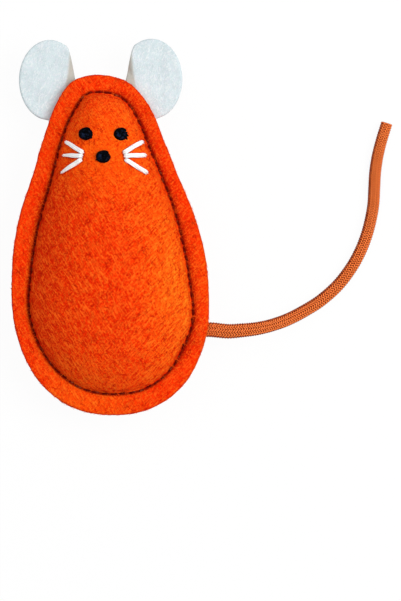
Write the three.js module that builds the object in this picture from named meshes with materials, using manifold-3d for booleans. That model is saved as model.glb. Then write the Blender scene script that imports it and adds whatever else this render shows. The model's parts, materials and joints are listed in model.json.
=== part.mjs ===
// Catnip mouse: two felt panels sewn together round a stuffing of fibre and dried catnip,
// with felt ears and a braided cord tail caught in the seam, and an embroidered face.
// Millimetres, +Z up. The mouse lies on its back panel, face up, with its head towards +Y.
// The origin is on the table, under the middle of the mouse without its tail.
import * as THREE from 'three';
import { mergeVertices } from 'three/addons/utils/BufferGeometryUtils.js';
import Module from 'manifold-3d';

const wasm = await Module();
wasm.setup();

// Gap between pieces that touch
const clearance = 0.3;

// Outline of the felt panels, seen from above. It was cut by hand, so the cheeks and the crown lean
// to the left and the rump to the right
const bodyLength = 109.7;
const bellyWidth = 63.8;
const cheekWidth = 38.2;
const rumpLevel = -60.7;
const bellyRise = 38;
const cheekDrop = 20.2;
const headLean = 2.1;
const crownLean = 3.9;
const rumpLean = 1;

// Handles that round the outline's curves at the crown, cheeks, belly and rump
const crownReach = 12.1;
const cheekHandleRise = 10.8;
const cheekHandleLean = 3.7;
const flankEase = 1.53;
const bellyHandle = 22.4;
const haunchHandle = 18.1;
const rumpReach = 23.5;

// Felt, and the seam that runs inside the raw edge
const feltThickness = 3;
const edgeRounding = 0.8;
const flangePuff = 0.3;
const seamAllowance = 5.9;
const seamDriftX = 0.3;
const seamDriftY = 0.4;
const grooveWidth = 1.4;
const grooveDepth = 1.1;
const threadDiameter = 0.8;

// Height of each stuffed dome over the plane of the seam, the exponents that flatten its ridge and
// steepen its foot, and the flat that the belly rests on
const faceBellyHeight = 17.5;
const faceHeadHeight = 14;
const backBellyHeight = 14;
const backHeadHeight = 12;
const ridgeFlatness = 2.2;
const footSteepness = 1.8;
const restFlatDepth = 0.5;

// Filling
const stuffingClearance = 0.8;
const catnipWidth = 24;
const catnipLength = 36;
const catnipHeight = 6.5;
const catnipRise = 42;

// Ears: upright felt ovals. The inner side is cut along a line that comes nearer the oval's middle
// towards the top, and it curls back. Each ear is seated on the stretch of the head's curve between two
// drops below the crown
const earWidth = 20;
const earLength = 26;
const earThickness = 1.5;
const earOut = 1.75;
const earUp = 4.7;
const earSeatTop = 1.83;
const earSeatLow = 14.01;
const earStandOff = 1.5;
const earTuck = 7.5;
const earTabTaper = 3;
const earInnerReach = 8.8;
const earInnerLean = 0.29;
const earCurlStart = 4;
const earCurlRadius = 2.6;
const earCurlFade = 5;

// Embroidered face, a little to the left: knots for eyes and nose, straight stitches for whiskers.
// A whisker's outer end lies in from the widest part of the cheek, its inner end out from the
// face's middle, and both lie up or down from the nose
const faceLean = 1.7;
const eyeDiameter = 4.4;
const eyeSpacing = 10.4;
const eyeDrop = 19.9;
const noseWidth = 4.8;
const noseDrop = 27.4;
const knotHeight = 1.7;
const whiskerDiameter = 1.4;
const whiskers = {
  upper: { cheekInset: 7.2, outerRise: 5.4, innerOut: 6.8, innerRise: 1.9 },
  middle: { cheekInset: 6.2, outerRise: 1.1, innerOut: 6.9, innerRise: 0.8 },
  lower: { cheekInset: 5.7, outerRise: -4.5, innerOut: 7.2, innerRise: -0.4 },
};

// Tail: a braided cord whose flattened end is sewn into the seam. Its route goes right and up from
// the exit, and its third number is the share of the seam's height that the cord keeps there
const tailDiameter = 4.3;
const tailRise = 27.4;
const tailTuck = 2.2;
const tailRootWidth = 4.8;
const tailRootThickness = 2.4;
const tailFloorGap = 0.1;
const tailRoute = [
  [0, 0, 1], [2.7, -0.2, 1], [5.3, -0.5, 0.98], [8.7, -0.2, 0.92], [13.9, 0.3, 0.74],
  [19.1, 1.5, 0.5], [24.5, 3.6, 0.28], [29.8, 6, 0.12], [35.2, 9.4, 0.03], [40.8, 14.4, 0],
  [45.1, 20, 0], [48, 25.2, 0], [50.1, 30.5, 0], [51.5, 35.7, 0], [52.4, 40.9, 0],
  [52.7, 46.2, 0], [53, 51.4, 0], [53.8, 56.7, 0], [55.1, 61.9, 0], [56.8, 67.4, 0],
];

// Places that follow from the sizes
const crownLevel = rumpLevel + bodyLength;
const cheekLevel = crownLevel - cheekDrop;
const bellyLevel = rumpLevel + bellyRise;
const seamLevel = backBellyHeight - restFlatDepth;
const flangeFloor = clearance / 2;
const grooveFloor = flangeFloor + feltThickness - grooveDepth;
const domeFoot = seamAllowance + grooveWidth / 2;
const innerFoot = domeFoot + feltThickness;

// Facets: steps along each curve of the outline, and shares of the way from a dome's foot to its ridge
const headSteps = 7;
const flankSteps = 7;
const rumpSteps = 7;
const domeShares = [0.05, 0.15, 0.35, 0.6, 0.8, 1];
const earRows = 8;
const earColumns = 12;
const cordSides = 10;
const threadSides = 6;
const whiskerSteps = 8;
const roundSteps = 12;
const mergeTolerance = 1e-4;

// Solids

// A closed geometry facing outwards, from its corners and triangles, with equal corners merged
function closedGeometry(corners, triangles) {
  const raw = new THREE.BufferGeometry();
  raw.setAttribute('position', new THREE.Float32BufferAttribute(corners.flatMap((p) => p.toArray()), 3));
  raw.setIndex(triangles.flat());
  const merged = mergeVertices(raw, mergeTolerance);
  const at = (index) => new THREE.Vector3().fromBufferAttribute(merged.attributes.position, index);
  const index = merged.index.array;
  const kept = [];
  let volume = 0;
  for (let k = 0; k < index.length; k += 3) {
    const [a, b, c] = index.slice(k, k + 3);
    if (a === b || b === c || c === a) continue;
    kept.push([a, b, c]);
    volume += at(a).dot(at(b).cross(at(c)));
  }
  merged.setIndex(kept.flatMap(([a, b, c]) => (volume < 0 ? [a, c, b] : [a, b, c])));
  merged.computeVertexNormals();
  return merged;
}

// Skins made of closed rings with as many corners each, joined ring to ring
function skinnedGeometry(skins) {
  const corners = [];
  const triangles = [];
  for (const rings of skins) {
    const first = corners.length;
    const around = rings[0].length;
    corners.push(...rings.flat());
    for (let r = 0; r + 1 < rings.length; r += 1) {
      for (let k = 0; k < around; k += 1) {
        const a = first + r * around + k;
        const b = first + r * around + (k + 1) % around;
        triangles.push([a, b, b + around], [a, b + around, a + around]);
      }
    }
  }
  return closedGeometry(corners, triangles);
}

function toSolid(geometry) {
  const bare = geometry.clone();
  bare.deleteAttribute('normal');
  bare.deleteAttribute('uv');
  const { attributes, index } = mergeVertices(bare, mergeTolerance);
  const vertProperties = Float32Array.from(attributes.position.array);
  const triVerts = Uint32Array.from(index.array);
  return new wasm.Manifold(new wasm.Mesh({ numProp: 3, vertProperties, triVerts }));
}

function toGeometry(solid) {
  const { vertProperties, triVerts } = solid.getMesh();
  const geometry = new THREE.BufferGeometry();
  geometry.setAttribute('position', new THREE.BufferAttribute(vertProperties, 3));
  geometry.setIndex(new THREE.BufferAttribute(triVerts, 1));
  geometry.computeVertexNormals();
  return geometry;
}

// Body

// The three curves of one side of the outline, where side is 1 on the right and -1 on the left
function outlineCurves(side) {
  const cheek = side * cheekWidth / 2 - headLean;
  const belly = side * bellyWidth / 2;
  const curve = (...points) => new THREE.CubicBezierCurve(...points.map((p) => new THREE.Vector2(...p)));
  return {
    head: curve(
      [-crownLean, crownLevel],
      [side * crownReach - crownLean, crownLevel],
      [cheek - side * cheekHandleLean, cheekLevel + cheekHandleRise],
      [cheek, cheekLevel],
    ),
    flank: curve(
      [cheek, cheekLevel],
      [cheek + side * flankEase * cheekHandleLean, cheekLevel - flankEase * cheekHandleRise],
      [belly, bellyLevel + bellyHandle],
      [belly, bellyLevel],
    ),
    rump: curve(
      [belly, bellyLevel],
      [belly, bellyLevel - haunchHandle],
      [rumpLean + side * rumpReach, rumpLevel],
      [rumpLean, rumpLevel],
    ),
  };
}

// The point where a curve that runs down the outline comes to a level
function pointAtLevel(curve, level) {
  const halvings = 40;
  let low = 0;
  let high = 1;
  for (let k = 0; k < halvings; k += 1) {
    const middle = (low + high) / 2;
    if (curve.getPoint(middle).y > level) low = middle;
    else high = middle;
  }
  return curve.getPoint(low);
}

// Points down one side, from the crown to the rump
function sidePoints(side) {
  const { head, flank, rump } = outlineCurves(side);
  const start = (curve, steps) => curve.getPoints(steps).slice(0, -1);
  return [...start(head, headSteps), ...start(flank, flankSteps), ...rump.getPoints(rumpSteps)];
}

// Stations round the raw edge, each with the way in from the edge and the ridge point above it
const edgePoints = [...sidePoints(1), ...sidePoints(-1).slice(1, -1).reverse()];
const stations = edgePoints.map((edge, k) => {
  const before = edgePoints.at(k - 1);
  const after = edgePoints[(k + 1) % edgePoints.length];
  const inward = new THREE.Vector2(after.y - before.y, before.x - after.x).normalize();
  const level = THREE.MathUtils.clamp(edge.y, bellyLevel, cheekLevel);
  const share = (cheekLevel - level) / (cheekLevel - bellyLevel);
  return { edge, inward, share, ridge: new THREE.Vector2(headLean * (share - 1), level) };
});

// A point of a station at a distance in from the raw edge. The seam drifts off the even inset
function insetPoint({ edge, inward }, distance) {
  const drift = Math.min(distance / seamAllowance, 1);
  return new THREE.Vector2(seamDriftX, seamDriftY).multiplyScalar(drift)
    .add(edge).addScaledVector(inward, distance);
}

// A stuffed dome: steep at its foot and flat along its ridge
const crown = (share) => (1 - (1 - share) ** ridgeFlatness) ** (1 / footSteepness);

// The two domes, one looking up (1) and one down (-1), and the two skins of the felt over each
const faceDome = { way: 1, head: faceHeadHeight, belly: faceBellyHeight };
const backDome = { way: -1, head: backHeadHeight, belly: backBellyHeight };
const outerSkin = { foot: domeFoot, base: grooveFloor, depth: 0 };
const innerSkin = { foot: innerFoot, base: flangeFloor, depth: feltThickness };

// A ring of a dome's skin, a share of the way from its foot to its ridge, less a gap in height
function domeRing(share, { way, head, belly }, { foot, base, depth }, gap = 0) {
  return stations.map((station) => {
    const { x, y } = insetPoint(station, foot).lerp(station.ridge, share);
    const bellyShare = THREE.MathUtils.smoothstep(station.share, 0, 1);
    const ridge = THREE.MathUtils.lerp(head, belly, bellyShare) - depth;
    const height = base + (ridge - base) * crown(share) - gap;
    return new THREE.Vector3(x, y, seamLevel + way * height);
  });
}

// A ring at one inset and one height over the seam's plane
function levelRing(inset, height) {
  return stations.map((station) => {
    const { x, y } = insetPoint(station, inset);
    return new THREE.Vector3(x, y, seamLevel + height);
  });
}

// A felt panel: raw edge, plump flange, seam groove and dome outside, and its lining side inside
function panelSolid(dome) {
  const flangeTop = flangeFloor + feltThickness;
  const flange = [
    [0, flangeFloor],
    [0, flangeTop - edgeRounding],
    [edgeRounding, flangeTop],
    [seamAllowance / 2, flangeTop + flangePuff],
    [seamAllowance - grooveWidth, flangeTop],
    [seamAllowance - grooveWidth / 2, grooveFloor],
    [domeFoot, grooveFloor],
  ].map(([inset, height]) => levelRing(inset, dome.way * height));
  const outside = [...flange, ...domeShares.map((share) => domeRing(share, dome, outerSkin))];
  const inside = [0, ...domeShares].map((share) => domeRing(share, dome, innerSkin)).reverse();
  return toSolid(skinnedGeometry([outside, [...inside, flange[0]]]));
}

// The space inside the panels, less a clearance
function stuffingSolid() {
  const half = (dome) => domeShares.map((share) => domeRing(share, dome, innerSkin, stuffingClearance));
  return toSolid(skinnedGeometry([[...half(faceDome).reverse(), ...half(backDome)]]));
}

// The core of catnip, or the pocket for it, as a rounded plug that goes down through the stuffing
function catnipCore(growth) {
  const radius = catnipWidth / 2 + growth;
  const rounded = Array.from({ length: roundSteps / 2 }, (_, k) => {
    const angle = (k / (roundSteps / 2)) * Math.PI / 2;
    return new THREE.Vector2(radius * Math.cos(angle), (catnipHeight + growth) * Math.sin(angle));
  });
  const low = -backBellyHeight;
  const profile = [new THREE.Vector2(0, low), new THREE.Vector2(radius, low), ...rounded];
  profile.push(new THREE.Vector2(0, catnipHeight + growth));
  const geometry = new THREE.LatheGeometry(profile, 2 * roundSteps);
  geometry.rotateX(Math.PI / 2);
  geometry.scale(1, (catnipLength / 2 + growth) / radius, 1);
  geometry.translate(0, rumpLevel + catnipRise, seamLevel);
  return toSolid(geometry);
}

// A loop of seam thread that lies in a panel's groove
function seamThread(face) {
  const radius = threadDiameter / 2;
  const rest = grooveFloor + clearance + radius;
  const rings = Array.from({ length: threadSides + 1 }, (_, k) => {
    const angle = (k / threadSides) * 2 * Math.PI;
    const height = rest + radius * Math.sin(angle);
    return levelRing(seamAllowance + radius * Math.cos(angle), face * height);
  });
  return skinnedGeometry([rings]);
}

// Ears

// The hinge line of an ear, just outside the stretch of the flange that holds it
function earSeat(side) {
  const { head } = outlineCurves(side);
  const top = pointAtLevel(head, crownLevel - earSeatTop);
  const low = pointAtLevel(head, crownLevel - earSeatLow);
  const along = top.clone().sub(low).normalize();
  const out = new THREE.Vector2(side * along.y, -side * along.x);
  const bulges = edgePoints.map((point) => point.clone().sub(low).dot(out));
  const standOff = Math.max(...bulges) + earStandOff;
  const middle = top.clone().add(low).divideScalar(2).addScaledVector(out, standOff);
  return { middle, out, across: new THREE.Vector2(out.y, -out.x), side };
}

// The two ends of an ear's chord at a distance out from the hinge line, along that line: those of the
// oval, but no farther in than the cut of the inner side
function earChord({ out, across, side }, distance) {
  const scaled = (vector) => new THREE.Vector2(vector.x / (earWidth / 2), vector.y / (earLength / 2));
  const centre = new THREE.Vector2(side * earOut, earUp);
  const start = scaled(out.clone().multiplyScalar(distance).sub(centre));
  const step = scaled(across);
  const middle = -start.dot(step) / step.lengthSq();
  const reach = Math.sqrt(Math.max(middle ** 2 - (start.lengthSq() - 1) / step.lengthSq(), 0));
  const inward = new THREE.Vector2(-side, earInnerLean);
  const cutPlace = earInnerReach + inward.dot(centre) - distance * inward.dot(out);
  const cut = cutPlace / inward.dot(across);
  const [low, high] = [middle - reach, middle + reach];
  return side < 0 ? [low, Math.min(high, cut)] : [Math.max(low, cut), high];
}

// The farthest that the oval reaches out from the hinge line
function earReach({ out, side }) {
  const centre = new THREE.Vector2(side * earOut, earUp).dot(out);
  return centre + Math.hypot(out.x * earWidth / 2, out.y * earLength / 2);
}

// A point of the ear's middle surface, in the hinge's own frame. The inner side curls down and back
function earPoint({ out, across, side }, along, distance) {
  const flat = across.clone().multiplyScalar(along).addScaledVector(out, distance);
  const inner = -side * (flat.x - side * earOut);
  const leastCurl = 1e-3;
  const curl = THREE.MathUtils.clamp(distance / earCurlFade, leastCurl, 1);
  const radius = earCurlRadius / curl;
  const angle = Math.max(inner - earCurlStart, 0) / radius;
  const shift = radius * (Math.sin(angle) - angle);
  const drop = radius * (1 - Math.cos(angle));
  flat.x -= side * shift;
  return new THREE.Vector3(flat.dot(across), flat.dot(out), -drop);
}

// The free part of an ear, as a sheet with a rounded edge along its hinge line
function earBlade(seat) {
  const tipShare = 0.985;
  const reach = earReach(seat) * tipShare;
  const rows = Array.from({ length: earRows }, (_, r) => {
    const distance = reach * r / (earRows - 1);
    const [low, high] = earChord(seat, distance);
    return Array.from({ length: earColumns }, (_, c) => (
      earPoint(seat, low + (high - low) * c / (earColumns - 1), distance)));
  });
  const within = (k, count) => THREE.MathUtils.clamp(k, 0, count - 1);
  const at = (r, c) => rows[within(r, earRows)][within(c, earColumns)];
  const offset = (r, c, height) => {
    const across = at(r, c + 1).clone().sub(at(r, c - 1));
    const outward = at(r + 1, c).clone().sub(at(r - 1, c));
    return at(r, c).clone().addScaledVector(across.cross(outward).normalize(), height);
  };
  const nose = rows[0].map(({ x }) => new THREE.Vector3(x, -earThickness / 2, 0));
  const face = (height) => [nose, ...rows.map((row, r) => row.map((_, c) => offset(r, c, height)))];
  const top = face(earThickness / 2);
  const bottom = face(-earThickness / 2);
  const rings = top.map((row, r) => [...row, ...bottom[r].toReversed()]);
  const tip = rings.at(-1);
  const flatTip = tip.map((_, k) => tip[k < earColumns ? k : 2 * earColumns - 1 - k]);
  return skinnedGeometry([[...rings, flatTip]]);
}

// The tab of an ear that the flanges hold, or the pocket for it
function earTab(seat, growth) {
  const [low, high] = earChord(seat, 0);
  const end = -earThickness / 2 - clearance + growth;
  const tuck = -earStandOff - earTuck - growth;
  const shape = new THREE.Shape([
    new THREE.Vector2(low - growth, end),
    new THREE.Vector2(low + earTabTaper - growth, tuck),
    new THREE.Vector2(high - earTabTaper + growth, tuck),
    new THREE.Vector2(high + growth, end),
  ]);
  const depth = earThickness + 2 * growth;
  const geometry = new THREE.ExtrudeGeometry(shape, { depth, bevelEnabled: false });
  return geometry.translate(0, 0, -depth / 2);
}

// Tail

// The flattened end of the cord between the flanges, or the channel for it, ending at the raw edge
function tailRoot(growth) {
  const length = domeFoot + tailTuck + growth;
  const shape = new THREE.Shape();
  shape.absellipse(0, 0, tailRootThickness / 2 + growth, tailRootWidth / 2 + growth, 0, 2 * Math.PI);
  const geometry = new THREE.ExtrudeGeometry(shape, {
    depth: length + growth,
    bevelEnabled: false,
    curveSegments: roundSteps,
  });
  return geometry.rotateY(Math.PI / 2).translate(-length, 0, 0);
}

// The free cord, from the round end that turns in the seam to its cut end
function tailCord() {
  const radius = tailDiameter / 2;
  const floor = radius + tailFloorGap - seamLevel;
  const points = tailRoute.map(([x, y, share]) => new THREE.Vector3(x, y, floor * (1 - share)));
  const section = new THREE.Shape().absarc(0, 0, radius, 0, 2 * Math.PI);
  const cord = new THREE.ExtrudeGeometry(section, {
    steps: 2 * tailRoute.length,
    curveSegments: cordSides / 2,
    extrudePath: new THREE.CatmullRomCurve3(points),
  });
  const roundEnd = new THREE.SphereGeometry(radius, cordSides, cordSides / 2);
  return toGeometry(toSolid(cord).add(toSolid(roundEnd)));
}

// Face

// A thread knot, flat under and dimpled on top, standing on its own plane. The profile's points are
// shares of its radius and height
function knotGeometry(diameter) {
  const radius = diameter / 2;
  const profile = [[0, 0], [0.85, 0], [1, 0.3], [0.92, 0.65], [0.6, 1], [0.25, 0.95], [0, 0.8]];
  const points = profile.map(([out, up]) => new THREE.Vector2(out * radius, up * knotHeight));
  return new THREE.LatheGeometry(points, roundSteps).rotateX(Math.PI / 2);
}

// Where a plumb line through x, y meets a mesh from above
function surfaceAt(mesh, x, y) {
  const above = new THREE.Vector3(x, y, seamLevel + 2 * faceBellyHeight);
  const [hit] = new THREE.Raycaster(above, new THREE.Vector3(0, 0, -1)).intersectObject(mesh);
  return { point: hit.point, normal: hit.face.normal };
}

// A straight stitch drawn over the dome between two points of the face
function stitchGeometry(mesh, outer, inner) {
  const lift = whiskerDiameter / 2 + clearance;
  const points = Array.from({ length: whiskerSteps + 1 }, (_, k) => {
    const { x, y } = outer.clone().lerp(inner, k / whiskerSteps);
    const { point, normal } = surfaceAt(mesh, x, y);
    return point.addScaledVector(normal, lift);
  });
  const section = new THREE.Shape().absarc(0, 0, whiskerDiameter / 2, 0, 2 * Math.PI);
  return new THREE.ExtrudeGeometry(section, {
    steps: whiskerSteps,
    curveSegments: threadSides / 2,
    extrudePath: new THREE.CatmullRomCurve3(points),
  });
}

// Assembly

const mouse = new THREE.Group();

function addPiece(name, geometry, color, roughness, parent = mouse) {
  const mesh = new THREE.Mesh(geometry, new THREE.MeshStandardMaterial({ color, roughness, metalness: 0 }));
  mesh.name = name;
  parent.add(mesh);
  return mesh;
}

const orange = 0xf1470b;
const paleBlue = 0xd7e2e5;
const rust = 0xd56535;
const black = 0x16141a;
const white = 0xf4f2ee;
const darkBrown = 0x3a0d06;
const cream = 0xf0ece2;
const dryGreen = 0x6d7a3c;
const feltRoughness = 0.95;
const threadRoughness = 0.6;
const fillingRoughness = 1;

const seats = { left: earSeat(-1), right: earSeat(1) };
const earFrames = {};
for (const [name, seat] of Object.entries(seats)) {
  const frame = new THREE.Group();
  frame.position.set(seat.middle.x, seat.middle.y, seamLevel);
  frame.rotation.z = Math.atan2(seat.across.y, seat.across.x);
  frame.updateMatrix();
  mouse.add(frame);
  addPiece(`${name}_ear`, earBlade(seat), paleBlue, feltRoughness, frame);
  addPiece(`${name}_ear_root`, earTab(seat, 0), paleBlue, feltRoughness, frame);
  earFrames[name] = frame;
}

const exit = pointAtLevel(outlineCurves(1).rump, rumpLevel + tailRise);
const tailRootFrame = new THREE.Group();
tailRootFrame.position.set(exit.x, exit.y, seamLevel);
tailRootFrame.updateMatrix();
mouse.add(tailRootFrame);
addPiece('tail_root', tailRoot(0), rust, threadRoughness, tailRootFrame);

const tailFrame = new THREE.Group();
tailFrame.position.set(exit.x + clearance + tailDiameter / 2, exit.y, seamLevel);
mouse.add(tailFrame);
addPiece('tail', tailCord(), rust, threadRoughness, tailFrame);

// The flanges are pressed apart where the ears and the tail pass between them
const pockets = [
  earTab(seats.left, clearance).applyMatrix4(earFrames.left.matrix),
  earTab(seats.right, clearance).applyMatrix4(earFrames.right.matrix),
  tailRoot(clearance).applyMatrix4(tailRootFrame.matrix),
].map(toSolid);
const withPockets = (panel) => pockets.reduce((rest, pocket) => rest.subtract(pocket), panel);

const tableSide = bodyLength + bellyWidth;
const tableBlock = new THREE.BoxGeometry(tableSide, tableSide, tableSide);
const underTable = toSolid(tableBlock.translate(0, 0, -tableSide / 2));
const facePanel = withPockets(panelSolid(faceDome));
const backPanel = withPockets(panelSolid(backDome)).subtract(underTable);
const frontMesh = addPiece('front_panel', toGeometry(facePanel), orange, feltRoughness);
addPiece('back_panel', toGeometry(backPanel), orange, feltRoughness);
addPiece('front_seam_thread', seamThread(1), darkBrown, threadRoughness);
addPiece('back_seam_thread', seamThread(-1), darkBrown, threadRoughness);

const stuffing = stuffingSolid();
const fibre = stuffing.subtract(catnipCore(clearance));
const catnip = stuffing.intersect(catnipCore(0));
addPiece('fibre_stuffing', toGeometry(fibre), cream, fillingRoughness);
addPiece('catnip_filling', toGeometry(catnip), dryGreen, fillingRoughness);

const up = new THREE.Vector3(0, 0, 1);
const eyeLevel = crownLevel - eyeDrop;
const noseLevel = crownLevel - noseDrop;
const knots = [
  { name: 'left_eye', diameter: eyeDiameter, x: -eyeSpacing / 2 - faceLean, y: eyeLevel },
  { name: 'right_eye', diameter: eyeDiameter, x: eyeSpacing / 2 - faceLean, y: eyeLevel },
  { name: 'nose', diameter: noseWidth, x: -faceLean, y: noseLevel },
];
for (const { name, diameter, x, y } of knots) {
  const { point, normal } = surfaceAt(frontMesh, x, y);
  const knot = addPiece(name, knotGeometry(diameter), black, threadRoughness);
  knot.position.copy(point).addScaledVector(normal, clearance);
  knot.quaternion.setFromUnitVectors(up, normal);
}

for (const [sideName, side] of Object.entries({ left: -1, right: 1 })) {
  for (const [level, { cheekInset, outerRise, innerOut, innerRise }] of Object.entries(whiskers)) {
    const place = (out, rise) => new THREE.Vector2(side * out - faceLean, noseLevel + rise);
    const outer = place(cheekWidth / 2 - cheekInset, outerRise);
    const stitch = stitchGeometry(frontMesh, outer, place(innerOut, innerRise));
    addPiece(`${sideName}_${level}_whisker`, stitch, white, threadRoughness);
  }
}

export default mouse;
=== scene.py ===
"""The looks of a stuffed felt catnip mouse, built round its packed frame.

Lengths are in metres, in the frame of the packed part: the mouse lies face up on the table, with its
head towards +Y and its tail on the +X side.
"""

import json
import math

import bmesh
import bpy
import numpy as np
from bpy.props import FloatProperty, FloatVectorProperty, IntProperty, PointerProperty
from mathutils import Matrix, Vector, noise
from mathutils.bvhtree import BVHTree
from mathutils.kdtree import KDTree


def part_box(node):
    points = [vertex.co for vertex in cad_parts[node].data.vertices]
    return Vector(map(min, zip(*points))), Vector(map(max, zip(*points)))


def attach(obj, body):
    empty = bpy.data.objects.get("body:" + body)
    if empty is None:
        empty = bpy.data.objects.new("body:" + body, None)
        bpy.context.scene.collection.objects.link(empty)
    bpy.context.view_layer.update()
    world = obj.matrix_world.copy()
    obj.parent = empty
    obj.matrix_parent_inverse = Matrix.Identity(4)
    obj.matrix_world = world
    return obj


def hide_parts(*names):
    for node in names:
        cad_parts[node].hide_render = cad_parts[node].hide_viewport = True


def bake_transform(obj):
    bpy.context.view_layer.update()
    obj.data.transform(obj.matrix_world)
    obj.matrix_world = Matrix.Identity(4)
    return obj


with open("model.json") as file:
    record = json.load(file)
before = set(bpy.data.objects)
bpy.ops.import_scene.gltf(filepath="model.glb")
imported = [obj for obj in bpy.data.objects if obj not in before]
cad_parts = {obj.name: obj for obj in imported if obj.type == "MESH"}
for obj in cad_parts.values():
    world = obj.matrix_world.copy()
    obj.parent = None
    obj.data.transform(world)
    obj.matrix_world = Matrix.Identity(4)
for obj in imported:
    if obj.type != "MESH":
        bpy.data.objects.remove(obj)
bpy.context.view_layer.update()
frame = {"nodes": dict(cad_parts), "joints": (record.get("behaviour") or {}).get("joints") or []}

bl_info = {
    "name": "Catnip mouse",
    "version": (1, 0, 0),
    "blender": (4, 5, 0),
    "location": "3D View > Sidebar > Mouse",
    "description": "Dresses the frame of a stuffed felt catnip mouse",
    "category": "Add Mesh",
}

# Places that the packed part gives
FRONT_LOW, FRONT_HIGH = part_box("front_panel")
BACK_LOW, BACK_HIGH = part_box("back_panel")
SEAM_LEVEL = (FRONT_LOW.z + BACK_HIGH.z) / 2
HALF_GAP = (FRONT_LOW.z - BACK_HIGH.z) / 2
CROWN_LEVEL = FRONT_HIGH.y
RUMP_LEVEL = FRONT_LOW.y
BELLY_WIDTH = FRONT_HIGH.x - FRONT_LOW.x
JOINTS = {joint["name"]: joint for joint in frame["joints"]}
UP = np.array((0.0, 0.0, 1.0))

# The two sides and the two panels, with the way that each one faces
SIDES = {"left": -1, "right": 1}
PANELS = {"front": 1, "back": -1}

# Outline of the panels. The cheeks and the crown lean to the left and the rump to the right
CHEEK_WIDTH = 0.0382
CHEEK_LEVEL = CROWN_LEVEL - 0.0202
BELLY_LEVEL = RUMP_LEVEL + 0.038
HEAD_LEAN = 0.0021
CROWN_LEAN = 0.0039
RUMP_LEAN = 0.001
CROWN_REACH = 0.0121
CHEEK_HANDLE_RISE = 0.0108
CHEEK_HANDLE_LEAN = 0.0037
FLANK_EASE = 1.53
BELLY_HANDLE = 0.0224
HAUNCH_HANDLE = 0.0181
RUMP_REACH = 0.0235
SEAM_DRIFT = (0.0003, 0.0004)
TAIL_SWELL = 0.0005
TAIL_SWELL_REACH = 0.0066

# Where the visible raw edge leaves its plain curves: side, level, reach up and down it, and the shift
EDGE_EASE = (
    (-1, 0.049, 0.0016, (0, -0.0002)), (-1, 0.043, 0.005, (0.00045, -0.0001)),
    (-1, 0.0155, 0.0085, (0.0006, 0)), (-1, -0.036, 0.017, (0.0005, 0)), (-1, -0.0607, 0.004, (0, -0.0002)),
    (1, 0.049, 0.0016, (0, -0.0002)), (1, 0.0228, 0.004, (0.0002, 0)), (1, -0.05, 0.011, (0.0005, 0)),
    (1, -0.0607, 0.004, (0, -0.0002)),
)

# How much farther in than its allowance the seam was sewn, at levels up each side
SEAM_WANDER = {
    1: (
        (-0.054, 0.0006), (-0.044, 0.0006), (-0.03, -0.0008), (-0.014, 0.0009), (0, 0.0006),
        (0.013, -0.0005), (0.02, -0.0005), (0.03, -0.0002), (0.042, -0.0003), (0.049, 0.0002),
    ),
    -1: (
        (-0.054, 0.0006), (-0.044, 0), (-0.03, -0.0012), (-0.022, -0.0005), (-0.01, 0.0004),
        (0.005, 0.0007), (0.03, -0.0005), (0.038, 0.0003), (0.043, 0.0004), (0.049, 0.0002),
    ),
}

# Shape of the stuffed domes, and how their rings crowd towards the foot
RIDGE_FLATNESS = 2.2
FOOT_STEEPNESS = 1.8
REST_FLAT_DEPTH = 0.0005
RING_CROWDING = 1.5
SLACK = 0.955

# Where the seam's groove gets shallower, up the crown and down the rump, and where the right is spared
GROOVE_CROWN, GROOVE_RUMP, GROOVE_RIGHT = (0.012, 0.034), (-0.044, -0.056), (0, 0.008)

# Where the flange's painted shade changes: across to the right, and up the flank, the crown and the rump
SHADE_RIGHT, SHADE_FLANK_FOOT, SHADE_FLANK_TOP = (-0.002, 0.01), (-0.012, 0.004), (0.013, 0.02)
SHADE_CROWN, SHADE_RUMP = (0.013, 0.026), (-0.042, -0.054)

# Waves of the felt's unevenness: depth and size
PANEL_WAVES = ((0.00011, 0.0034), (0.00005, 0.0012))
EAR_WAVES = ((0.00006, 0.0026), (0.00003, 0.001))

# Painted light on the right flank and the face, and a lighter colour round the rump: middle and reach
PAINTED_LIGHT_AND_RUMP_PLACES = (
    ((0.023, -0.019, 0.022), 0.019), ((-0.008, -0.056, 0.017), 0.026), ((-0.002, 0.024, 0.026), 0.026),
)

# How a coarse bag of both panels behaves as cloth that its stuffing swells
BAG_CLOTH = {
    "quality": 6, "mass": 0.01, "tension_stiffness": 0.8, "compression_stiffness": 0.8,
    "shear_stiffness": 0.5, "bending_stiffness": 0.05, "use_pressure": True, "uniform_pressure_force": 500,
}

# Route of the tail from its hinge: right, up, and the share of the seam's height that it keeps
TAIL_FLOOR_GAP = 0.0001
TAIL_ROUTE = (
    (0, -0.0001, 1), (0.0027, -0.0004, 1), (0.0053, -0.00055, 0.98), (0.0087, -0.0003, 0.92),
    (0.0139, 0.00025, 0.74), (0.0191, 0.0014, 0.5), (0.0245, 0.0033, 0.28), (0.0298, 0.006, 0.12),
    (0.0352, 0.0094, 0.03), (0.0408, 0.0144, 0), (0.0451, 0.02, 0), (0.048, 0.0252, 0),
    (0.0501, 0.0305, 0), (0.0515, 0.0357, 0), (0.0524, 0.0409, 0), (0.0527, 0.0462, 0),
    (0.053, 0.0514, 0), (0.0538, 0.0567, 0), (0.0551, 0.0619, 0), (0.0568, 0.0674, 0),
)

# The ears' inner side as it shows from above, inwards and upwards from the oval's middle, and their crease
EAR_INNER_SIDE = (
    (0.0053, 0.0113), (0.0061, 0.0099), (0.0065, 0.0083), (0.007, 0.0048), (0.0081, 0.0004),
    (0.0083, -0.0016), (0.0046, -0.0046),
)
CREASE_NORMAL = np.array((1, -0.1)) / math.hypot(1, 0.1)
FOLD_RISE = (-0.0012, 0.005)

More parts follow.
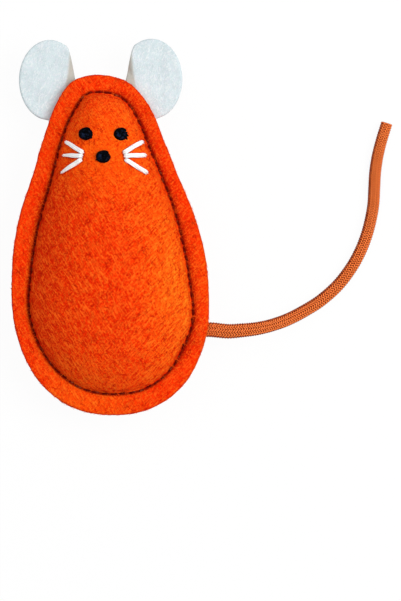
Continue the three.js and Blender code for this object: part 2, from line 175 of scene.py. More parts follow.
# Places on the face, to the side of the nose's middle and up from it: the eyes, and the whiskers' two ends
EYE_PLACE = (0.0058, 0.0074)
WHISKERS = {
    "upper": ((0.0122, 0.0052), (0.0066, 0.0015)),
    "middle": ((0.0131, 0.0009), (0.0069, 0.0004)),
    "lower": ((0.0136, -0.0047), (0.0071, -0.0008)),
}

# Share of its thickness that each left whisker keeps at its outer end
LEFT_POINTS = {"upper": 0.85, "middle": 0.6, "lower": 0.62}

# Places and sizes of the two round lamps
KEY_PLACE, KEY_SIZE = (0.42, 0.04, 0.6), 0.5
TOP_PLACE, TOP_SIZE = (-0.16, 0.24, 0.66), 0.6

# Name of the map of corner places, for baking
BAKE_MAP = "OFBake"


def length(name, description, default):
    """A property that holds a length in metres."""
    return FloatProperty(
        name=name, description=description, default=default, min=0, precision=5,
        subtype="DISTANCE", unit="LENGTH",
    )


def colour(name, description, default):
    """A property that holds a colour as linear light."""
    return FloatVectorProperty(
        name=name, description=description, default=default, size=3, min=0, max=1, subtype="COLOR",
    )


class BodySettings(bpy.types.PropertyGroup):
    """Felt panels, their seam and the fibres that stand out of them."""

    felt_thickness: length("Felt thickness", "Thickness of each felt panel", 0.003)
    edge_rounding: length("Edge rounding", "Radius of the raw edge's upper corner", 0.0005)
    flange_puff: length("Flange puff", "Rise of the flange between edge and seam", 0.0001)
    seam_allowance: length("Seam allowance", "Distance from the raw edge to the seam", 0.0059)
    groove_width: length("Groove width", "Width of the floor of the seam's groove", 0.0014)
    groove_depth: length("Groove depth", "Depth of that groove under the flange", 0.0012)
    front_head: length("Front head height", "Height of the front dome at the head", 0.014)
    back_head: length("Back head height", "Depth of the back dome at the head", 0.012)
    stitch_pitch: length("Stitch pitch", "Distance from one seam stitch to the next", 0.0029)
    stitch_length: length("Stitch length", "Length of a seam stitch that shows", 0.0023)
    thread_diameter: length("Thread diameter", "Diameter of the seam thread", 0.00062)
    fibre_count: IntProperty(name="Fibres", description="Loose fibres on the front", default=4200, min=0)
    felt: colour("Felt", "Main colour of the felt", (0.91, 0.031, 0.0007))
    # The deep felt colours the blotches, and also the painted shade on the left side and beside the seam
    deep: colour("Deep felt", "Colour of its darker blotches", (0.6, 0.0095, 0.0003))
    # The bright felt is the colour of the painted light on the right side and the face, and of the lighter
    # rump
    bright: colour("Bright felt", "Colour of its paler patches", (1.0, 0.165, 0.005))
    fibre: colour("Fibres", "Colour of its lighter fibres", (0.98, 0.122, 0.008))
    thread: colour("Seam thread", "Colour of the seam thread", (0.13, 0.0022, 0.001))
    # The groove colour is painted shade: down in the seam's groove, on the raw edge and beside the whiskers
    groove: colour("Groove", "Colour of the felt down in the seam's groove", (0.2, 0.0045, 0.001))


class EarSettings(bpy.types.PropertyGroup):
    """Felt ears, whose inner side folds back."""

    width: length("Width", "Width of the oval ear", 0.020)
    height: length("Height", "Height of the oval ear", 0.026)
    thickness: length("Thickness", "Thickness of the ear's felt", 0.0015)
    out: length("Out", "Distance from the hinge's middle out to the oval's", 0.00175)
    up: length("Up", "Distance from the hinge's middle up to the oval's", 0.0047)
    tuck: length("Tuck", "Depth of the tab under the hinge line", 0.009)
    taper: length("Taper", "How much the tab narrows at each side", 0.003)
    crease: length("Crease", "Distance from the oval's middle in to the crease", 0.0049)
    fold_radius: length("Fold radius", "Radius of the fold at the crease", 0.0015)
    fold_angle: FloatProperty(
        name="Fold angle", description="How far the inner side folds back",
        default=math.radians(58), subtype="ANGLE", unit="ROTATION",
    )
    felt: colour("Ear felt", "Main colour of the ears", (0.62, 0.725, 0.745))
    shade: colour("Ear shade", "Colour of their darker mottling", (0.52, 0.61, 0.635))


class FaceSettings(bpy.types.PropertyGroup):
    """Embroidered knots and whiskers."""

    eye_width: length("Eye width", "Width of an eye's knot", 0.00515)
    eye_height: length("Eye height", "Height of an eye's knot, up the face", 0.0042)
    nose_width: length("Nose width", "Width of the nose's knot", 0.0052)
    nose_height: length("Nose height", "Height of the nose's knot, up the face", 0.0042)
    knot_height: length("Knot height", "How far a knot stands off the felt", 0.0017)
    knot_thread: length("Knot thread", "Diameter of the thread in a knot", 0.0011)
    whisker_diameter: length("Whisker diameter", "Diameter of a whisker's floss", 0.0015)
    black: colour("Black thread", "Colour of the eyes and the nose", (0.0006, 0.0006, 0.0009))
    # Painted glints: the blue that the middle of a knot shows
    blue: colour("Blue thread", "Colour that the middle of a knot shows", (0.008, 0.014, 0.036))
    white: colour("White thread", "Colour of the whiskers", (0.97, 0.965, 0.96))


class TailSettings(bpy.types.PropertyGroup):
    """Braided cord tail."""

    diameter: length("Diameter", "Diameter of the cord", 0.0043)
    root_width: length("Root width", "Width of the cord where the seam flattens it", 0.0051)
    root_thickness: length("Root thickness", "Thickness of the cord in the seam", 0.0024)
    tuck: length("Tuck", "Length of cord inside the seam", 0.0068)
    carriers: IntProperty(
        name="Carriers", description="Strands that wind each way, an even number", default=16, min=4,
    )
    lead: length("Lead", "Length of cord in which a strand winds round once", 0.0132)
    cord: colour("Cord", "Main colour of the cord", (1.0, 0.225, 0.045))
    # The cord gap colour is painted shade between and under the strands
    gap: colour("Cord gaps", "Colour down between the strands", (0.2, 0.014, 0.001))


class FillingSettings(bpy.types.PropertyGroup):
    """Fibre stuffing and dried catnip inside the body."""

    curl_count: IntProperty(name="Curls", description="Loose curls of fibre", default=420, min=0)
    flake_count: IntProperty(name="Flakes", description="Crumbs of dried leaf", default=900, min=0)
    fibre: colour("Fibre", "Colour of the stuffing", (0.84, 0.81, 0.74))
    leaf: colour("Leaf", "Colour of the dried catnip", (0.15, 0.19, 0.05))
    stalk: colour("Stalk", "Colour of its paler crumbs", (0.36, 0.33, 0.14))


class StageSettings(bpy.types.PropertyGroup):
    """Camera, lamps and floor."""

    lens: FloatProperty(name="Lens", description="Focal length in millimetres", default=150, min=1)
    camera_x: FloatProperty(
        name="Camera X", description="Place of the camera across the table",
        default=0.02924, precision=5, subtype="DISTANCE", unit="LENGTH",
    )
    camera_y: FloatProperty(
        name="Camera Y", description="Place of the camera up the table",
        default=-0.02391, precision=5, subtype="DISTANCE", unit="LENGTH",
    )
    camera_rise: length("Camera rise", "Height of the camera over the seam's plane", 0.809)
    key_power: FloatProperty(name="Key", description="Power of the key lamp", default=3.4, unit="POWER")
    top_power: FloatProperty(name="Top", description="Power of the top lamp", default=1.28, unit="POWER")
    sky: FloatProperty(name="Sky", description="Strength of the even light all round", default=0.475)
    floor: colour("Floor", "Colour of the floor", (0.9, 0.9, 0.9))


# Shaders


class Term:
    """A shader socket in Python arithmetic: each operator adds a Math node."""

    def __init__(self, finish, socket):
        self.finish = finish
        self.socket = socket

    def __add__(self, other):
        return self.finish.math("ADD", self, other)

    def __sub__(self, other):
        return self.finish.math("SUBTRACT", self, other)

    def __rsub__(self, other):
        return self.finish.math("SUBTRACT", other, self)

    def __mul__(self, other):
        return self.finish.math("MULTIPLY", self, other)

    __radd__ = __add__
    __rmul__ = __mul__


class Finish:
    """A node tree under construction: a material with its Principled shader, or the world's light."""

    def __init__(self, owner):
        owner.use_nodes = True
        self.owner = owner
        self.tree = owner.node_tree
        self.shader = self.tree.nodes.get("Principled BSDF")

    def set(self, values):
        """Sets or links sockets of the Principled shader."""
        for name, value in values.items():
            self.join(value, self.shader.inputs[name])

    def show(self, kind, shader):
        """Adds the output node that ends the tree."""
        self.join(shader, self.tree.nodes.new(kind).inputs["Surface"])

    def join(self, value, socket):
        """Links a socket to a Term, or sets it to a plain value."""
        if isinstance(value, Term):
            self.tree.links.new(value.socket, socket)
        else:
            socket.default_value = value

    def node(self, kind, settings=None, sockets=None, output=0):
        """Adds a node, sets its settings and then its sockets, and returns one of its outputs."""
        node = self.tree.nodes.new(kind)
        for name, value in (settings or {}).items():
            setattr(node, name, value)
        for name, value in (sockets or {}).items():
            self.join(value, node.inputs[name])
        return Term(self, node.outputs[output])

    def math(self, operation, first, second):
        """The result of a Math node."""
        return self.node("ShaderNodeMath", {"operation": operation}, {0: first, 1: second})

    def mix(self, share, first, second):
        """A colour between two others."""
        first_socket, second_socket, result = 6, 7, 2
        sockets = {0: share, first_socket: first, second_socket: second}
        return self.node("ShaderNodeMix", {"data_type": "RGBA"}, sockets, result)

    def layered(self, shade, *layers):
        """A colour with others laid over it in turn, each given with its share."""
        for share, over in layers:
            shade = self.mix(share, shade, over)
        return shade

    def vector(self, operation, first, second, output=0):
        """The result of a Vector Math node."""
        return self.node("ShaderNodeVectorMath", {"operation": operation}, {0: first, 1: second}, output)

    def place(self):
        """Where a point of the surface is, in metres."""
        return self.node("ShaderNodeTexCoord", output="Object")

    def part(self, place, axis):
        """One coordinate of a place."""
        return self.node("ShaderNodeSeparateXYZ", None, {"Vector": place}, axis)

    def noise(self, place, size, detail=2.0, rough=0.5, bend=0.0):
        """Noise whose lumps are about that size, in metres."""
        sockets = {"Vector": place, "Scale": 1 / size, "Detail": detail, "Roughness": rough}
        return self.node("ShaderNodeTexNoise", None, {**sockets, "Distortion": bend}, "Fac")

    def streaks(self, place, angle, wide, long, bend):
        """Noise drawn out into streaks that lie at an angle to +X."""
        turned = self.node(
            "ShaderNodeVectorRotate", {"rotation_type": "Z_AXIS"}, {"Vector": place, "Angle": -angle},
        )
        factors = (1 / long, 1 / wide, 1 / long)
        return self.noise(self.vector("MULTIPLY", turned, factors), 1.0, detail=1.5, bend=bend)

    def attribute(self, name):
        """A value that the mesh's points carry."""
        return self.node("ShaderNodeAttribute", {"attribute_name": name}, None, "Fac")

    def glow(self, place, middle, reach):
        """1 at a place on the piece, falling to 0 at that reach from it."""
        return 1 - self.ramp(self.vector("DISTANCE", place, middle, "Value"), 0, reach)

    def beside(self, place, start, end, near, far):
        """1 within near of the line from start to end, seen from above, falling to 0 at far from it."""
        run = end - start
        along = tuple(run / (run @ run)) + (0,)
        flat = self.vector("MULTIPLY", place, (1, 1, 0))
        off = self.vector("SUBTRACT", flat, (*start, 0))
        share = self.vector("DOT_PRODUCT", off, along, "Value")
        share = self.math("MAXIMUM", self.math("MINIMUM", share, 1), 0)
        foot = self.node("ShaderNodeVectorMath", {"operation": "SCALE"}, {0: (*run, 0), "Scale": share})
        return 1 - self.ramp(self.vector("DISTANCE", off, foot, "Value"), near, far)

    def ramp(self, value, low, high):
        """A smooth rise from 0 at low to 1 at high."""
        settings = {"interpolation_type": "SMOOTHSTEP"}
        return self.node("ShaderNodeMapRange", settings, {"Value": value, "From Min": low, "From Max": high})

    def bump(self, height, distance, strength):
        """Normals of a fine relief, from its height."""
        return self.node(
            "ShaderNodeBump", None, {"Height": height, "Distance": distance, "Strength": strength},
        )

    def cover(self, shade, rough, relief=None):
        """Gives the surface its colour, roughness and relief, and returns the material."""
        self.set({"Base Color": shade, "Roughness": rough})
        if relief is not None:
            self.set({"Normal": relief})
        return self.owner


def surface(name, sockets):
    """A new material, and its Finish, with these values on its Principled shader."""
    finish = Finish(bpy.data.materials.new(name))
    finish.set(sockets)
    return finish


def opaque(rgb):
    """A colour with full alpha, as sockets take it."""
    return (*rgb, 1.0)


def felt_strokes(finish, place):
    """The light and the dark strokes of matted wool.

    Most of them fall to the right on the body's left side, and rise to the right on its right side."""
    falling, rising = math.radians(-58), math.radians(47)
    most_turned, least_rising = 0.6, 0.4
    drift_size, most_drift, turn_start, turn_end = 0.012, 0.015, -0.004, 0.014
    light_edge, dark_edge = (0.54, 0.6), (0.46, 0.39)
    drift = finish.noise(place, drift_size, detail=1) * (2 * most_drift) - most_drift
    sway = finish.ramp(finish.part(place, "X") + drift, turn_start, turn_end) * most_turned
    fall, rise = (
        finish.streaks(place, angle, wide=0.0004, long=0.0025, bend=0.8) for angle in (falling, rising)
    )
    light, dark = (
        finish.ramp(fall, low, high) * (1 - sway) + finish.ramp(rise, low, high) * (sway + least_rising)
        for low, high in (light_edge, dark_edge)
    )
    return light, dark


def felt_finish(body):
    """Heathered orange felt: matted strokes, red blotches, painted light on the right, painted shade on the
    left.
    """
    finish = surface("orange_felt", {
        "Sheen Weight": 0.07, "Sheen Roughness": 0.5, "Sheen Tint": opaque((1.0, 0.2, 0.02)),
        "Specular IOR Level": 0.03,
    })
    place = finish.place()
    ramp = finish.ramp
    lean, seam, painted_seam_shade, wall = (
        finish.attribute(f"felt_{name}") for name in ("lean", "seam", "shade", "edge")
    )
    level, height = (finish.part(place, axis) for axis in "YZ")
    flank, rump, face = (finish.glow(place, *pale) for pale in PAINTED_LIGHT_AND_RUMP_PLACES)
    felt, deep, bright, groove = (opaque(rgb) for rgb in (body.felt, body.deep, body.bright, body.groove))
    gold = opaque((1.0, 0.27, 0.012))
    off_seam = finish.math("ABSOLUTE", height - SEAM_LEVEL, 0)
    padded = ramp(off_seam, body.felt_thickness, body.felt_thickness + 0.002)
    calm = (1 - face * 0.75) * (1 - wall * 0.7)
    light, dark = (strokes * calm for strokes in felt_strokes(finish, place))
    light = light * (padded * 0.4 + 0.6)
    speck = finish.noise(place, 0.0006, detail=1, rough=0.5)
    fuzz = finish.noise(place, 0.00035, detail=2, rough=0.7)
    blotch = ramp(finish.noise(place, 0.0085, detail=3, rough=0.6, bend=0.8), 0.53, 0.72)
    # Painted light on the slopes that face right, and painted shade on those that face left below the head
    painted_light_right = ramp(lean, 0.1, 0.8) * (ramp(level, 0.02, 0) * 0.24 + 0.2)
    painted_shade_left = ramp(lean, -0.2, -0.9) * ramp(level, 0.022, 0.004)
    # Painted light on the right flank and the face, and a lighter colour round the rump; the light strokes
    # turn gold there
    painted_light_and_rump = painted_light_right + (flank + rump) * 0.32 + face * 0.4
    pale = finish.mix(painted_light_and_rump, opaque(body.fibre), gold)
    shade = finish.layered(
        felt,
        (blotch * calm * 0.5, deep),
        (painted_shade_left * 0.5, deep),
        (painted_light_and_rump, bright),
        # Painted shade on the flange beside the seam, darkest down in the groove
        (painted_seam_shade * 0.85, deep),
        (ramp(painted_seam_shade, 0.3, 1) * 0.4, groove),
        (dark * (padded * 0.35 + 0.32), deep),
        (finish.math("MINIMUM", light, 1), pale),
        (ramp(speck, 0.42, 0.33) * (padded * 0.15 + 0.4), deep),
        (ramp(speck, 0.58, 0.67) * 0.7, pale),
        # Painted shade in a thin line along the seam's groove
        (ramp(seam, 0.64, 0.88) * 0.88, groove),
        # Painted shade on the raw edge and close beside the whiskers
        (wall * 0.42 + painted_whisker_shade(finish, place) * 0.7, groove),
    )
    relief = finish.bump(speck * 0.4 + light * 0.5 + fuzz * 0.3, 0.0004, 0.65)
    return finish.cover(shade, 0.98 - light * 0.14, relief)


def painted_whisker_shade(finish, place):
    """1 close along each whisker, where painted shade darkens the front felt beside its stitch, and 0 away
    from them.
    """
    near, far = 0.0006, 0.0011
    nearness = 0
    for side in SIDES.values():
        for ends in WHISKERS.values():
            outer, inner = (nose_place() + np.array(end) * (side, 1) for end in ends)
            nearness = finish.beside(place, outer, inner, near, far) + nearness
    return nearness * finish.ramp(finish.part(place, "Z"), SEAM_LEVEL, FRONT_HIGH.z)


def ear_finish(ear):
    """Thin pale felt with faint mottling, fine matted fibres and painted shade on its folded inner strip."""
    finish = surface("ear_felt", {
        "Sheen Weight": 0.15, "Sheen Roughness": 0.5, "Sheen Tint": opaque((0.95, 0.98, 1.0)),
        "Specular IOR Level": 0.15,
    })
    place = finish.place()
    mottle = finish.ramp(finish.noise(place, 0.0042, detail=4, rough=0.65), 0.38, 0.68)
    tint = finish.ramp(finish.noise(place, 0.0012, detail=3, rough=0.65, bend=0.5), 0.44, 0.64)
    fibres = finish.streaks(place, math.radians(63), wide=0.0006, long=0.0015, bend=1.8)
    lavender, pale = opaque((0.7, 0.71, 0.79)), opaque((0.86, 0.88, 0.87))
    fold_painted_shade, rim_shade = opaque((0.44, 0.42, 0.35)), opaque((0.36, 0.46, 0.5))
    shade = finish.layered(
        opaque(ear.felt),
        (mottle * 0.6, opaque(ear.shade)),
        (tint * 0.4, lavender),
        (finish.ramp(fibres, 0.52, 0.64) * 0.5, pale),
        # Painted shade on the strip that folds back
        (finish.attribute("ear_fold") * 0.8, fold_painted_shade),
        (finish.attribute("ear_rim") * 0.12, rim_shade),
    )
    relief = mottle * 0.5 + fibres * 0.8 + finish.noise(place, 0.0003, detail=2, rough=0.7) * 0.4
    return finish.cover(shade, 0.96 - fibres * 0.12, finish.bump(relief, 0.00028, 0.7))


def filaments(finish, place):
    """The fine lay of a spun thread's filaments, and the relief that they make."""
    lay = finish.noise(place, 0.00022, detail=2, rough=0.65, bend=0.8)
    return lay, finish.bump(lay, 0.00012, 0.6)


def thread_finish(name, rgb, other, sockets, low=0.35, high=0.75):
    """Spun thread: uneven colour along it, and the fine lay of its filaments."""
    finish = surface(name, sockets)
    place = finish.place()
    uneven = finish.noise(place, 0.0016, detail=3, rough=0.6)
    lay, relief = filaments(finish, place)
    shade = finish.mix(finish.ramp(uneven, low, high), opaque(rgb), opaque(other))
    return finish.cover(shade, 0.42 + lay * 0.3, relief)


def knot_finish(face):
    """Black thread with painted blue glints in the middle of a knot and none round its rim."""
    cold = opaque((0.5, 0.72, 1.0))
    finish = surface("black_thread", {"Specular IOR Level": 0.025, "Specular Tint": cold})
    place = finish.place()
    middle = finish.ramp(finish.attribute("knot_middle"), 0.15, 0.45)
    blue = finish.ramp(finish.noise(place, 0.0009, detail=2, rough=0.6), 0.5, 0.62)
    lay, relief = filaments(finish, place)
    # Painted blue glints in the middle of the knot
    shade = finish.mix(blue * middle, opaque(face.black), opaque(face.blue))
    return finish.cover(shade, 0.3 + lay * 0.3, relief)


def loose_fibre_finish(body):
    """Single wool fibres, some brighter and some deeper than the felt that they stand out of."""
    finish = surface("felt_fibres", {"Specular IOR Level": 0.05})
    place = finish.place()
    pick = finish.noise(place, 0.0025, detail=1)
    shade = finish.layered(
        opaque(body.deep),
        (finish.ramp(pick, 0.38, 0.5), opaque(body.felt)),
        (finish.ramp(pick, 0.46, 0.56), opaque(body.fibre)),
    )
    return finish.cover(shade, 0.75 + pick * 0.2)


def cord_finish(tail):
    """Cotton strands: painted light on top, painted shade where they dive under, painted highlights in
    patches.
    """
    finish = surface("tail_cord", {
        "Sheen Weight": 0.05, "Sheen Tint": opaque((1.0, 0.5, 0.25)), "Specular IOR Level": 0.12,
    })
    place = finish.place()
    height = finish.attribute("strand_height")
    uneven = finish.noise(place, 0.0009, detail=3, rough=0.6)
    filament = finish.noise(place, 0.00016, detail=2, rough=0.6, bend=0.6)
    painted_highlight = opaque((1.0, 0.27, 0.075))
    shade = finish.layered(
        opaque(tail.gap),
        (finish.ramp(height, 0.08, 0.56), opaque(tail.cord)),
        # Painted highlights in random patches
        (finish.ramp(uneven, 0.45, 0.7) * 0.5, painted_highlight),
    )
    return finish.cover(shade, 0.55 + filament * 0.3, finish.bump(filament, 0.0001, 0.6))


def stuffing_finish(filling):
    """Crimped white fibre, shaded down between its tufts."""
    finish = surface("stuffing_fibre", {"Sheen Weight": 0.3, "Specular IOR Level": 0.2})
    place = finish.place()
    tuft = finish.noise(place, 0.0055, detail=4, rough=0.6)
    strand = finish.streaks(place, math.radians(30), wide=0.0003, long=0.004, bend=3.0)
    deep_share = 0.72
    deep = tuple(deep_share * part for part in filling.fibre)
    shade = finish.mix(finish.ramp(tuft, 0.35, 0.65), opaque(deep), opaque(filling.fibre))
    return finish.cover(shade, 0.8 + strand * 0.15, finish.bump(tuft * 0.5 + strand, 0.0005, 0.8))


def catnip_finish(filling):
    """Dried crumbled leaf, grey-green with straw-coloured crumbs."""
    finish = surface("dried_catnip", {"Specular IOR Level": 0.2})
    place = finish.place()
    crumb = finish.noise(place, 0.0012, detail=3, rough=0.7)
    vein = finish.noise(place, 0.0004, detail=2, rough=0.6)
    shade = finish.mix(finish.ramp(crumb, 0.45, 0.7), opaque(filling.leaf), opaque(filling.stalk))
    return finish.cover(shade, 0.8 + vein * 0.2, finish.bump(vein, 0.0003, 0.8))


# Meshes


def smooth_step(low, high, value):
    """A smooth rise from 0 at low to 1 at high."""
    share = np.clip((value - low) / (high - low), 0, 1)
    return share * share * (3 - 2 * share)


def unit(vectors):
    """The same vectors with a length of 1."""
    return vectors / np.maximum(np.linalg.norm(vectors, axis=-1, keepdims=True), 1e-12)


def linked(name, data):
    """A new object in the scene for a mesh, a lamp or a camera."""
    made = bpy.data.objects.new(name, data)
    bpy.context.scene.collection.objects.link(made)
    return made


def new_object(name, material, vertices, faces, corner_map=None):
    """A smooth object, with corner_map as the map of its bake where one is given."""
    mesh = bpy.data.meshes.new(name)
    mesh.from_pydata(np.asarray(vertices).tolist(), [], [tuple(face) for face in faces])
    if corner_map is not None:
        layer = mesh.uv_layers.new(name=BAKE_MAP)
        layer.data.foreach_set("uv", np.asarray(corner_map, np.float32).ravel())
    mesh.materials.append(material)
    mesh.shade_smooth()
    return linked(name, mesh)


def shaped_mesh(made):
    """A new mesh of an object as its modifiers shape it."""
    return bpy.data.meshes.new_from_object(made.evaluated_get(bpy.context.evaluated_depsgraph_get()))


def even_mesh(made, voxel):
    """A new mesh of an object's form with even faces of about that size."""
    remesh = made.modifiers.new("Even", "REMESH")
    remesh.mode = "VOXEL"
    remesh.voxel_size = voxel
    return shaped_mesh(made)


def mesh_points(mesh):
    """The places of a mesh's points."""
    points = np.empty(len(mesh.vertices) * 3)
    mesh.vertices.foreach_get("co", points)
    return points.reshape(-1, 3)


def make_solid(made, merge_distance=1e-6):
    """Merges points that meet and turns the faces of a closed mesh outwards."""
    shape = bmesh.new()
    shape.from_mesh(made.data)
    bmesh.ops.remove_doubles(shape, verts=shape.verts, dist=merge_distance)
    bmesh.ops.recalc_face_normals(shape, faces=shape.faces)
    shape.to_mesh(made.data)
    shape.free()
    made.data.shade_smooth()
    return made


def paint(made, name, values):
    """Gives each point of a mesh a value that its material can read."""
    attribute = made.data.attributes.new(name, "FLOAT", "POINT")
    attribute.data.foreach_set("value", np.asarray(values, np.float32).ravel())


def finish_piece(made, slot, *nodes, body="body"):
    """Sets a piece on the body that carries it, in place of any nodes given. Its slot is not used."""
    if body:
        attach(made, body)
    if nodes:
        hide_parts(*nodes)


def lumps(points, size, seed):
    """Noise from -1 to 1 at each point, with lumps of about that size."""
    shift = Vector((seed, 0.37 * seed, 0.61 * seed))
    return np.array([noise.noise(Vector(point) / size + shift) for point in points.reshape(-1, 3)])


def unevenness(points, waves, seeds):
    """How far points stand off an even skin, from waves that are given with their depth and size."""
    return sum(depth * lumps(points, size, seed) for (depth, size), seed in zip(waves, seeds))


def distances_along(points):
    """How far along a line each of its points is."""
    return np.concatenate([[0], np.cumsum(np.linalg.norm(np.diff(points, axis=0), axis=1))])


def spaced(points, count):
    """The same open line with evenly spaced points."""
    along = distances_along(points)
    even = np.linspace(0, along[-1], count)
    return np.stack([np.interp(even, along, points[:, axis]) for axis in range(points.shape[1])], axis=1)


def smooth_line(points, steps):
    """A Catmull-Rom curve through the points, with steps to each stretch."""
    ends = np.concatenate([[2 * points[0] - points[1]], points, [2 * points[-1] - points[-2]]])
    share = np.linspace(0, 1, steps, endpoint=False)[None, :, None]
    a, b, c, d = (ends[k:len(ends) - 3 + k, None] for k in range(4))
    curve = b + share / 2 * (c - a + share * (2 * a - 5 * b + 4 * c - d + share * (3 * (b - c) + d - a)))
    return np.concatenate([curve.reshape(-1, points.shape[1]), points[-1:]])


def frames(paths):
    """Unit tangents, normals and side vectors along paths, turning as little as they can."""
    off_upright = 1e-3
    tangents = unit(np.gradient(paths, axis=1))
    normals = np.empty_like(paths)
    carried = np.broadcast_to(UP, paths[:, 0].shape) + off_upright
    for step in range(paths.shape[1]):
        tangent = tangents[:, step]
        carried = unit(carried - (carried * tangent).sum(-1, keepdims=True) * tangent)
        normals[:, step] = carried
    return tangents, normals, np.cross(tangents, normals)


def sweep(paths, half_width, half_height, sides, columns=1, normals=None):
    """Closed tubes along paths of as many points, half_height along normals and half_width across.

    Returns vertices, faces and the corners' places on a map that has a cell for each tube."""
    tubes, steps = paths.shape[:2]
    tangents, carried, _ = frames(paths)
    normals = carried if normals is None else unit(normals)
    across = np.cross(tangents, normals)
    turn = (2 * math.pi * np.arange(sides) / sides)[:, None]
    wide, high = (
        np.broadcast_to(size, (tubes, steps))[..., None, None] for size in (half_width, half_height)
    )
    rim = across[:, :, None] * np.cos(turn) * wide + normals[:, :, None] * np.sin(turn) * high
    vertices = (paths[:, :, None] + rim).reshape(-1, 3)
    first = (np.arange(tubes) * steps * sides)[:, None, None]
    ring = first + np.arange(steps - 1)[:, None] * sides
    here, after = np.arange(sides), (np.arange(sides) + 1) % sides
    quads = np.stack([ring + here, ring + after, ring + sides + after, ring + sides + here], axis=-1)
    faces = quads.reshape(-1, 4).tolist()
    last = (steps - 1) * sides
    for start in first.ravel():
        faces.append([start + k for k in reversed(range(sides))])
        faces.append([start + last + k for k in range(sides)])
    return vertices, faces, tube_map(tubes, steps, sides, columns)


def tube_map(tubes, steps, sides, columns):
    """Corner places for the faces of sweep: each tube has a cell, with its two ends at the cell's right."""
    rows = math.ceil(tubes / columns)
    margin, wall_share = 0.06, 0.8
    end_radius, end_places = 0.05, ((0.92, 0.28), (0.92, 0.72))
    cell = np.array((1 / columns, 1 / rows))
    origin = np.stack([np.arange(tubes) % columns, np.arange(tubes) // columns], axis=1) * cell
    along, around = np.arange(steps - 1)[:, None], np.arange(sides)[None]
    corners = [(along, around), (along, around + 1), (along + 1, around + 1), (along + 1, around)]
    wall = np.stack([
        np.stack(np.broadcast_arrays(wall_share * a / (steps - 1), b / sides), axis=-1) for a, b in corners
    ], axis=2)
    wall = margin + (1 - 2 * margin) * wall
    walls = origin[:, None, None, None] + wall[None] * cell
    turn = 2 * math.pi * np.arange(sides) / sides
    disc = np.stack([np.cos(turn), np.sin(turn)], axis=-1) * end_radius
    ends = np.stack([disc[::-1] + end_places[0], disc + end_places[1]])
    ends = origin[:, None, None] + ends[None] * cell
    return np.concatenate([walls.reshape(-1, 2), ends.reshape(-1, 2)])


def plies(paths, radius, count, turn_length):
    """Paths of the plies that are twisted into threads along paths, and the radius of a ply.

    The threads' radius is one number, or one for each step."""
    ply = np.asarray(radius) * math.sin(math.pi / count) / (1 + math.sin(math.pi / count))
    offset = (radius - ply)[..., None]
    _, normals, sides = frames(paths)
    step = np.linalg.norm(np.diff(paths, axis=1), axis=2)
    along = np.concatenate([np.zeros((len(paths), 1)), np.cumsum(step, axis=1)], axis=1)
    twisted = []
    for number in range(count):
        angle = (2 * math.pi * (along / turn_length + number / count))[..., None]
        twisted.append(paths + offset * (np.cos(angle) * normals + np.sin(angle) * sides))
    return np.concatenate(twisted), ply


def joined(*parts):
    """Several lots of vertices, faces and corner maps as one. The maps share the sheet in strips."""
    vertices, faces, maps = [], [], []
    for number, (points, shapes, places) in enumerate(parts):
        start = sum(len(lot) for lot in vertices)
        vertices.append(points)
        faces.extend([[start + corner for corner in face] for face in shapes])
        maps.append((places + (0, number)) / (1, len(parts)))
    return np.concatenate(vertices), faces, np.concatenate(maps)


# Felt body


def bezier(points, place):
    """Points of a cubic curve at places from 0 to 1 along it."""
    a, b, c, d = (np.array(point) for point in points)
    place = place[:, None]
    rest = 1 - place
    return rest**3 * a + 3 * rest**2 * place * b + 3 * rest * place**2 * c + place**3 * d


def outline_side(side, places):
    """Points down one side of the outline, right (1) or left (-1), from 0 at the crown to 3 at the rump."""
    crown, rump = (-CROWN_LEAN, CROWN_LEVEL), (RUMP_LEAN, RUMP_LEVEL)
    cheek = (side * CHEEK_WIDTH / 2 - HEAD_LEAN, CHEEK_LEVEL)
    belly = (side * BELLY_WIDTH / 2, BELLY_LEVEL)
    lean, rise = side * CHEEK_HANDLE_LEAN, CHEEK_HANDLE_RISE
    above = (cheek[0] - lean, cheek[1] + rise)
    below = (cheek[0] + FLANK_EASE * lean, cheek[1] - FLANK_EASE * rise)
    curves = (
        (crown, (crown[0] + side * CROWN_REACH, crown[1]), above, cheek),
        (cheek, below, (belly[0], belly[1] + BELLY_HANDLE), belly),
        (belly, (belly[0], belly[1] - HAUNCH_HANDLE), (rump[0] + side * RUMP_REACH, rump[1]), rump),
    )
    points = np.empty((len(places), 2))
    for number, curve in enumerate(curves):
        here = (places >= number) & (places <= number + 1)
        points[here] = bezier(curve, places[here] - number)
    return points


